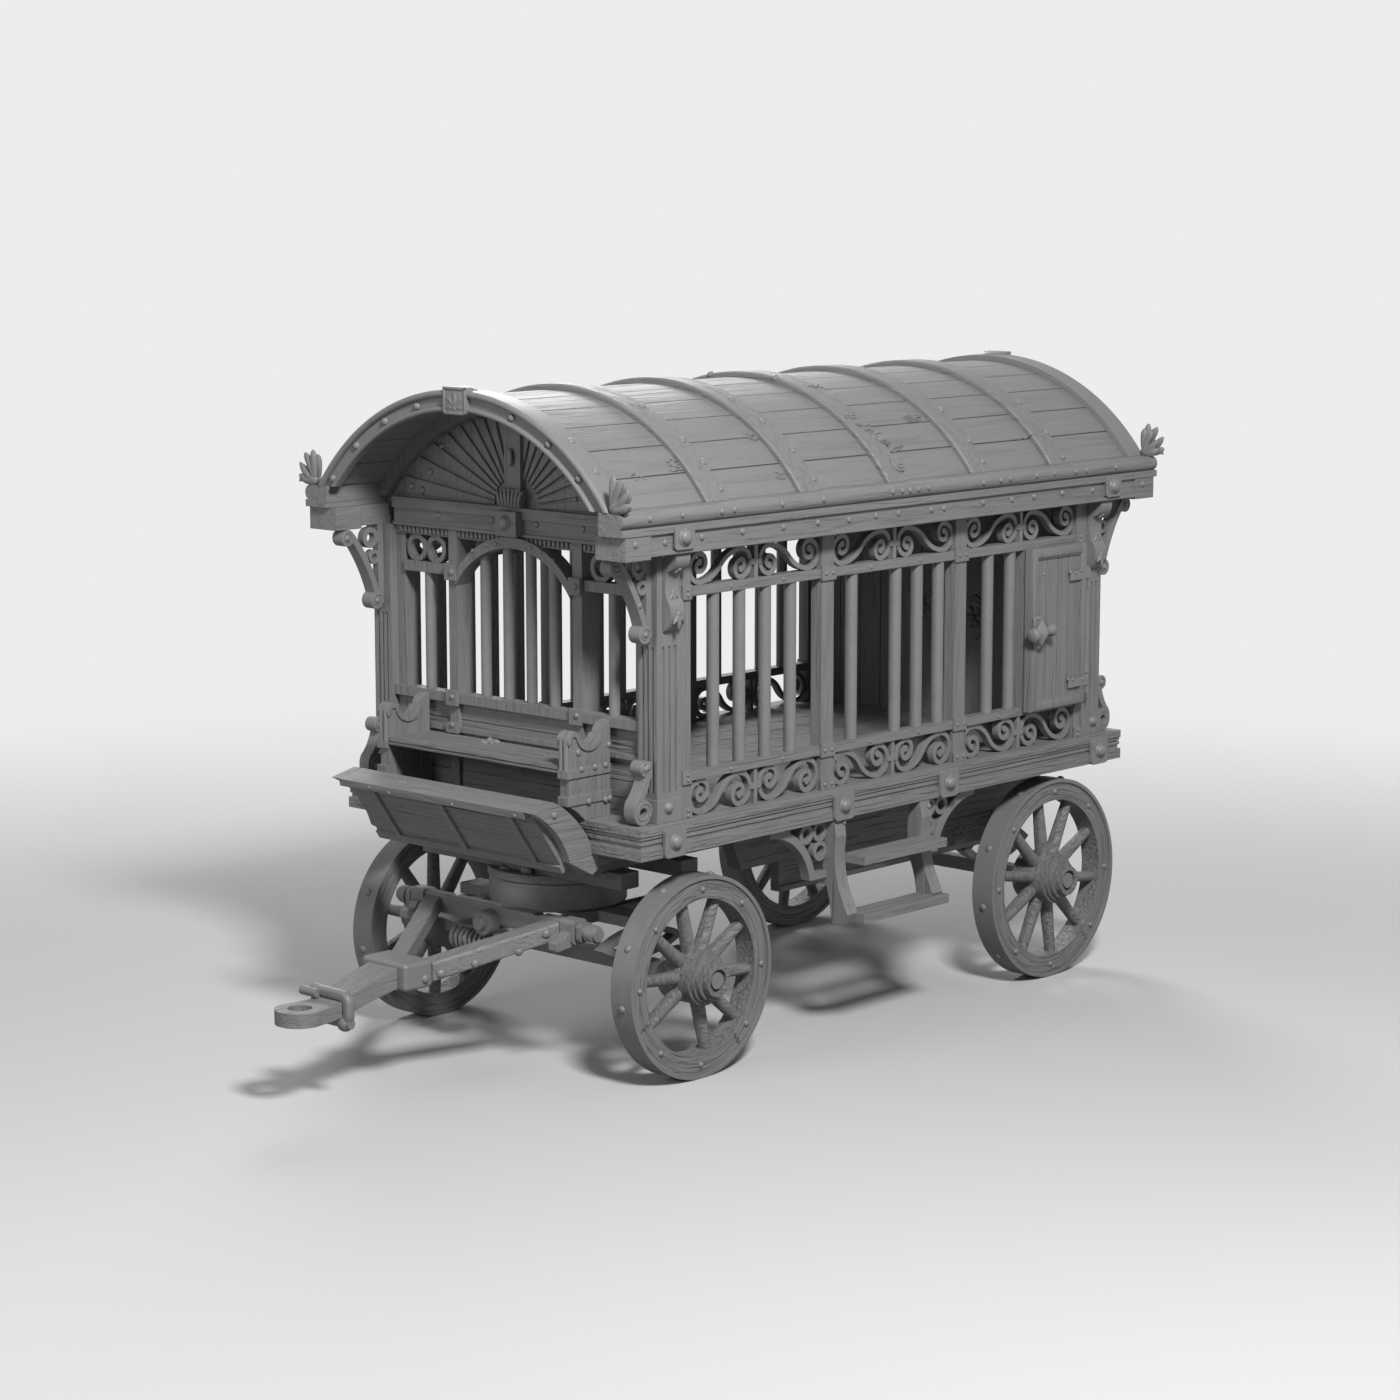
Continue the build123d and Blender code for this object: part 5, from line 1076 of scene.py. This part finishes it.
# %% [markdown]
# ## Raised grain
# On the weathered boards the hard grain stands out like low ribs. Bump alone would leave the edges of
# the boards straight, so the strongest ribs are real: thin rods, flattened, with pointed ends, half
# sunk in the board. Each board gets a few lines of them, and each line breaks at random places. A
# field of grain says which part carries it, its lower corner, the way of the grain, the way from line
# to line, the way the board faces, then its length, its height, its lines, a seed and the thickness.

# %% Raised grain
along_x, along_y, along_z = (1, 0, 0), (0, 1, 0), (0, 0, 1)
rib_swell = (0.12, 0.9, 1.0, 0.8, 0.12)


def press_grain(mesh, carrier, corner, along, up, outward, length, height, lines, seed, thick=0.0042):
    """Lines of raised grain on a flat board. `corner` is its lower end, `along` the way the grain runs.

    A line is left out where the board isn't there to carry it.
    """
    hand = random.Random(seed)
    corner, along, up, outward = Vector(corner), Vector(along), Vector(up), Vector(outward)

    def carried(spot):
        found = surface_of(carrier).ray_cast(spot + outward * 0.02, -outward, 0.03)[0]
        return found is not None and abs((found - spot).dot(outward)) < 0.003

    for line in range(lines):
        level = (line + 0.5 + hand.uniform(-0.22, 0.22)) * height / lines
        start = hand.uniform(0.01, 0.12) * length
        while start < length - 0.06:
            run = min(hand.uniform(0.16, 0.62), length - 0.02 - start)
            bend = hand.uniform(-0.006, 0.006)
            stations = []
            for step, swell in enumerate(rib_swell):
                part = step / 4
                sway = bend * math.sin(part * math.pi)
                place = corner + along * (start + run * part) + up * (level + sway)
                stations.append((place, along, thick * 1.25 * swell, thick * 0.8 * swell))
            if all(carried(station[0]) for station in stations):
                press_rod(mesh, stations, outward, 6)
            start += run + hand.uniform(0.02, 0.16)


sill_grain = bmesh.new()
sill_foot, sill_height = 1.153, 0.138
sill_bays = ((-1.335, -1.185), (-1.070, 0.050), (0.170, 0.895), (1.010, 2.210), (2.325, 2.475))
for side in (-1, 1):
    for number, (first, last) in enumerate(sill_bays):
        press_grain(
            sill_grain, "sill_frame", (first, side * 1.0272, sill_foot), along_x, along_z, (0, side, 0),
            last - first, sill_height, 6, 10 + number + side,
        )
for end, x in ((-1, -1.3452), (1, 2.4852)):
    press_grain(
        sill_grain, "sill_frame", (x, -1.0, sill_foot), along_y, along_z, (end, 0, 0),
        2.0, sill_height, 6, 31 + end,
    )
finished("sill_grain", sill_grain, "wagon", timber_x)

forward = (-1, 0, 0)
parapet_face = -1.1402
fields = [
    ("bench_seat", (-1.4562, -0.59, 1.532), along_y, along_z, forward, 1.18, 0.032, 2, 41, 0.0032),
    ("bench_seat", (-1.450, -0.59, 1.5682), along_y, along_x, along_z, 1.18, 0.26, 8, 71, 0.0040),
    ("front_parapet", (parapet_face, -0.80, 1.315), along_y, along_z, forward, 1.60, 0.245, 9, 42),
    ("front_parapet", (parapet_face, -0.80, 1.615), along_y, along_z, forward, 0.33, 0.10, 4, 42),
    ("front_parapet", (parapet_face, 0.47, 1.615), along_y, along_z, forward, 0.33, 0.10, 4, 44),
]
for side in (-1, 1):
    arm, beam, outward = (-1.440, side * 0.6602), (-1.25, side * 0.6002, 0.885), (0, side, 0)
    fields += [
        ("bench_sides", (*arm, 1.432), along_z, along_x, outward, 0.074, 0.25, 9, 51 + side, 0.0032),
        ("bench_sides", (*arm, 1.556), along_z, along_x, outward, 0.094, 0.25, 9, 51 + side, 0.0032),
        ("chassis_beams", beam, along_x, along_z, outward, 3.55, 0.24, 6, 61 + side, 0.0050),
    ]
board_grain = bmesh.new()
for field in fields:
    press_grain(board_grain, *field)
finished("board_grain", board_grain, "wagon", timber_y)

tread_ribs = bmesh.new()
for over_tread in ((0.47, -1.09, 1.13), (0.47, -1.09, 0.90)):
    top = surface_of("step_treads").ray_cast(Vector(over_tread), Vector((0, 0, -1)), 0.4)[0]
    press_grain(
        tread_ribs, "step_treads", (0.150, -1.150, top.z), along_x, along_y, along_z,
        0.64, 0.125, 6, 81, 0.0040,
    )
finished("tread_ribs", tread_ribs, "wagon", timber_x)

# %% [markdown]
# ## Slats of the footboard
# Between its cross pieces the footboard is filled with narrow slats. The picture gives the four
# corners of that field, and each line of sight between them gives one point of a slat's raised edge.
# Where a line meets a cross piece, which stands higher, the edge stops.

# %% Footboard slats
slats = bmesh.new()
top_left, top_right = Vector((366, 788)), Vector((530, 818))
foot_left, foot_right = Vector((398, 821)), Vector((562, 852))
field_place, field_out = photo_spot(490, 835, "footboard")
slat_samples = 56
slat_profile = (
    (0.0, 0.0015, 0.0015), (0.05, 0.0050, 0.0038), (0.95, 0.0050, 0.0038), (1.0, 0.0015, 0.0015),
)
for number in range(1, 6):
    first = top_left.lerp(foot_left, number / 6)
    last = top_right.lerp(foot_right, number / 6)
    run = []
    for sample in range(slat_samples + 1):
        column, row = first.lerp(last, sample / slat_samples)
        place, outward = photo_spot(column, row, "footboard")
        in_field = place is not None and abs((place - field_place).dot(field_out)) < 0.004
        if in_field:
            run.append(place)
        if run and (not in_field or sample == slat_samples):
            if len(run) > 4:
                press_rod(slats, [
                    (run[0].lerp(run[-1], part), run[-1] - run[0], wide, high)
                    for part, wide, high in slat_profile
                ], field_out, 6)
            run = []
finished("footboard_slats", slats, "wagon", timber_y)

# %% [markdown]
# ## The rear wall
# The picture doesn't show the back. Its upright planks are nailed to two ties, with two nails to a
# plank at the top and one at the foot. Inside, the picture shows two carved plates on the same wall,
# each a six-sided boss in two steps with a flower on it.

# %% Nails and plates of the rear wall
rear_nails = bmesh.new()
rear_plates = bmesh.new()
plank_pitch = 0.147
upper_tie_face, lower_tie_face = 2.303, 2.283
for number in range(-5, 6):
    for step, z, x in (
        (-0.040, 2.660, upper_tie_face), (0.040, 2.620, upper_tie_face), (0.0, 1.355, lower_tie_face),
    ):
        y = (number + 0.5) * plank_pitch - 0.075 + step
        press_dome(rear_nails, (x, y, z), (1, 0, 0), 0.0120, 0.7)
finished("rear_nails", rear_nails, "wagon", iron)
for column, row in ((976, 617), (922, 606)):
    place, outward = photo_spot(column, row, "rear_wall")
    for wide, low, high in ((0.130, 0.0, 0.010), (0.104, 0.010, 0.016)):
        press_disc(rear_plates, standing(place, outward), low, high, wide, wide * 0.93, 6)
    press_flower(rear_plates, place + outward * 0.016, outward, 0.070)
finished("rear_plates", rear_plates, "wagon", carving)

# %% [markdown]
# ## Belly boards
# In the picture a board with a thin foot rail hangs under each long beam, and fills the gap over the
# steps. Beside the rear springs it is only a thin cheek. Its raised grain is a few thin rods of random
# length, and a rope moulding covers the seam under the beam near the rear wheel.

# %% Belly boards
belly_boards = bmesh.new()
belly_hand = random.Random(91)
belly_start, belly_spring, belly_end = 0.120, 1.500, 2.050
board_face, foot_face = 0.598, 0.610
profiles = ((board_face, 0.726, 0.865, 0.002), (foot_face, 0.705, 0.735, 0.005))
ropes, rope_pitch, rope_height, rope_slant = 38, 0.022, 0.868, Vector((0.8, 0, 0.6))
for side in (-1, 1):
    for start, end, back in ((belly_start, belly_spring, 0.542), (belly_spring, belly_end, 0.5916)):
        for face, low, high, soft in profiles:
            press_block(
                belly_boards,
                ((start + end) / 2, side * (back + face) / 2, (low + high) / 2),
                (end - start, face - back, high - low),
                soft,
            )
    for z in (0.748, 0.766, 0.781, 0.803, 0.822, 0.843, 0.857):
        x = belly_start + belly_hand.uniform(0.01, 0.10)
        while x < belly_end - 0.10:
            run = min(belly_hand.uniform(0.12, 0.55), belly_end - 0.02 - x)
            press_rod(belly_boards, [
                ((x, side * board_face, z), along_x, 0.0015, 0.0010),
                ((x + run * 0.3, side * board_face, z + 0.002), along_x, 0.0050, 0.0036),
                ((x + run * 0.7, side * board_face, z - 0.002), along_x, 0.0045, 0.0036),
                ((x + run, side * board_face, z), along_x, 0.0015, 0.0010),
            ], (0, side, 0), 6)
            x += run + belly_hand.uniform(0.02, 0.12)
    for number in range(ropes):
        middle = Vector((1.200 + number * rope_pitch, side * 0.600, rope_height))
        press_rod(belly_boards, [
            (middle + rope_slant * reach, rope_slant, thick, thick)
            for reach, thick in ((-0.017, 0.004), (-0.008, 0.0095), (0.008, 0.0095), (0.017, 0.004))
        ], (0, side, 0), 8)
finished("belly_boards", belly_boards, "wagon", timber_x)

# %% [markdown]
# ## The cage door
# A low border frames the planks of the door, and its latch carries a large forged knob: a
# four-sided point on a bar with a ball at one end. It replaces the plain latch of the construction.
# The hinge runs on one long rod with a sleeve at each strap and a shorter one between them.

# %% Door fittings
door_border = bmesh.new()
leaf_face = -1.0500
for low_x, high_x, low_z, high_z in (
    (1.628, 1.668, 1.505, 2.367), (2.062, 2.102, 1.505, 2.367),
    (1.668, 2.062, 2.322, 2.367), (1.668, 2.062, 1.505, 1.550),
):
    press_block(
        door_border, ((low_x + high_x) / 2, leaf_face - 0.001, (low_z + high_z) / 2),
        (high_x - low_x, 0.012, high_z - low_z), 0.0025,
    )
press_grain(
    door_border, "door_leaf", (1.68, leaf_face - 0.0002, 1.57), along_z, along_x, (0, -1, 0),
    0.73, 0.36, 13, 71, 0.0030,
)
finished("door_border", door_border, "cage_door", timber_z)

latch_knob = bmesh.new()
bar_start, bar_y, bar_rise = 1.566, -1.092, 0.10
press_block(latch_knob, (1.664, -1.0560, 1.925), (0.072, 0.016, 0.176), 0.004)
for z in (1.848, 2.002):
    press_dome(latch_knob, (1.664, -1.064, z), (0, -1, 0), 0.0095, 0.7)
stand = standing((1.664, bar_y, 1.930), (0, -1, 0))
press_disc(latch_knob, stand, -0.026, 0.0, 0.034, 0.072, 4)
press_disc(latch_knob, stand, 0.0, 0.040, 0.072, 0.008, 4)
bmesh.ops.remove_doubles(latch_knob, verts=latch_knob.verts, dist=0.0004)
bar_profile = (
    (1.566, 0.008), (1.568, 0.028), (1.580, 0.040), (1.600, 0.040), (1.612, 0.028), (1.622, 0.020),
    (1.700, 0.018), (1.718, 0.024), (1.738, 0.036), (1.750, 0.034), (1.754, 0.008),
)
press_rod(latch_knob, [
    ((x, bar_y, 1.920 + (x - bar_start) * bar_rise), (1, 0, bar_rise), thick, thick)
    for x, thick in bar_profile
], (0, 1, 0), 16)
latch_piece = finished("latch_knob", latch_knob, "cage_door", iron)
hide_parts("door_latch")

hinge_rod = bmesh.new()
hinge_line = Matrix.Translation((2.130, -1.040, 0))
for low_z, high_z, radius in (
    (1.655, 2.165, 0.0105), (1.660, 1.700, 0.0165), (2.120, 2.160, 0.0165), (1.84, 1.87, 0.0145),
):
    press_disc(hinge_rod, hinge_line, low_z, high_z, radius, radius, 18)
finished("hinge_rod", hinge_rod, "wagon", iron)

# %% [markdown]
# ## Coil spring of the drawbar
# A coil spring hangs under the crossbar and takes up the slack of the pull. A small circle, spun
# round a line while it also moves along it, gives the coil in one step.

# %% Coil spring
coil = bmesh.new()
coil_start = Vector((-1.345, -0.03, 0.592))
coil_radius, coil_length, wire_radius = 0.047, 0.27, 0.0110
turns, steps = 8, 8 * 14
wire_start = Matrix.Translation(coil_start + Vector((0, 0, coil_radius)))
wire = bmesh.ops.create_circle(
    coil, segments=8, radius=wire_radius, matrix=wire_start @ Matrix.Rotation(math.pi / 2, 4, "Y"),
)["verts"]
wire_edges = list({edge for corner in wire for edge in corner.link_edges})
bmesh.ops.spin(
    coil, geom=wire + wire_edges, cent=coil_start, axis=(0, 1, 0), dvec=(0, coil_length / steps, 0),
    angle=turns * 2 * math.pi, steps=steps,
)
bmesh.ops.holes_fill(coil, edges=[edge for edge in coil.edges if edge.is_boundary], sides=0)
hanger_profile = ((0.592, 0.018, 0.010), (0.620, 0.014, 0.009), (0.650, 0.014, 0.009))
for y in (-0.040, 0.250):
    press_rod(coil, [
        ((coil_start.x, y, z), along_z, wide, thick) for z, wide, thick in hanger_profile
    ], (0, 1, 0), 8)
finished("coil_spring", coil, "drawbar", iron)

# %% [markdown]
# ## Damage on the roof
# Hail and branches have broken the planks in a few places. Short splinters stand up there, and between them
# dark rods stand for the hollows as painted shade.
# Both are thin rods that lie along the planks at slightly different angles.

# %% Broken patches
def press_splinters(mesh, hollow_shades, place, outward, spread, count, seed):
    """A patch of broken timber: splinters in one mesh, and in another the painted shade of the hollows
    between them.
    """
    hand = random.Random(seed)
    outward = outward.normalized()
    along = Vector((1, 0, 0))
    up = outward.cross(along).normalized()
    for number in range(count):
        length = hand.uniform(0.3, 1.0) * spread
        lean = hand.uniform(-0.35, 0.35)
        ahead = (along + up * lean).normalized()
        start = place + along * hand.uniform(-1, 0.6) * spread
        start += up * hand.uniform(-0.6, 0.6) * spread * 0.6
        thick = hand.uniform(0.003, 0.0075)
        # Every fourth rod lies flush and goes to the painted shade of the hollows.
        target, lift = (hollow_shades, 0.0) if number % 4 == 0 else (mesh, 0.0015)
        press_rod(target, [
            (start + outward * lift, ahead, thick * 0.3, thick * 0.2),
            (start + ahead * length * 0.3 + outward * lift, ahead, thick, thick * 0.7),
            (start + ahead * length * 0.7 + outward * lift * 2, ahead, thick * 0.8, thick * 0.7),
            (start + ahead * length + outward * lift * 3, ahead, thick * 0.15, thick * 0.15),
        ], outward, 6)


splinters = bmesh.new()
hollow_shades = bmesh.new()
patches = [
    (677.5, 466, 0.080, 34), (754, 436, 0.072, 28), (911, 419, 0.068, 30), (782, 475, 0.060, 10),
    (1020, 440, 0.080, 12), (895, 450, 0.060, 9), (640, 478, 0.050, 6),
]
for number, (column, row, spread, count) in enumerate(patches):
    place, outward = photo_spot(column, row, "roof_planks")
    press_splinters(splinters, hollow_shades, place, outward, spread, count, 100 + number)
    press_splinters(
        splinters, hollow_shades, place * mirror, outward * mirror, spread, count // 2, 200 + number,
    )
for number, (column, row) in enumerate([(862, 425), (872, 432), (882, 441), (815, 387), (850, 417)]):
    place, outward = photo_spot(column, row, "roof_ribs")
    press_splinters(splinters, hollow_shades, place, outward, 0.045, 10, 300 + number)
finished("roof_splinters", splinters, "wagon", plank_x)
# The dark rods of the hollows are painted shade.
finished("roof_hollow_shades", hollow_shades, "wagon", painted_hollow_shade)

# %% [markdown]
# ## Carved knots
# A carved knot sits in the middle of the bench, a smaller one on the footboard's top rail, and a
# round flower on each belly board near the rear axle.

# %% Carved knots
knots = bmesh.new()
for column, row, carrier, radius, petals in (
    (490, 742, "bench_seat", 0.055, 6), (401.5, 783, "footboard", 0.028, 5),
):
    place, outward = photo_spot(column, row, carrier)
    press_flower(knots, place, outward, radius, petals)
for side in (-1, 1):
    press_flower(knots, (1.611, side * board_face, 0.775), (0, side, 0), 0.066, 8)
finished("carved_knots", knots, "wagon", carving)
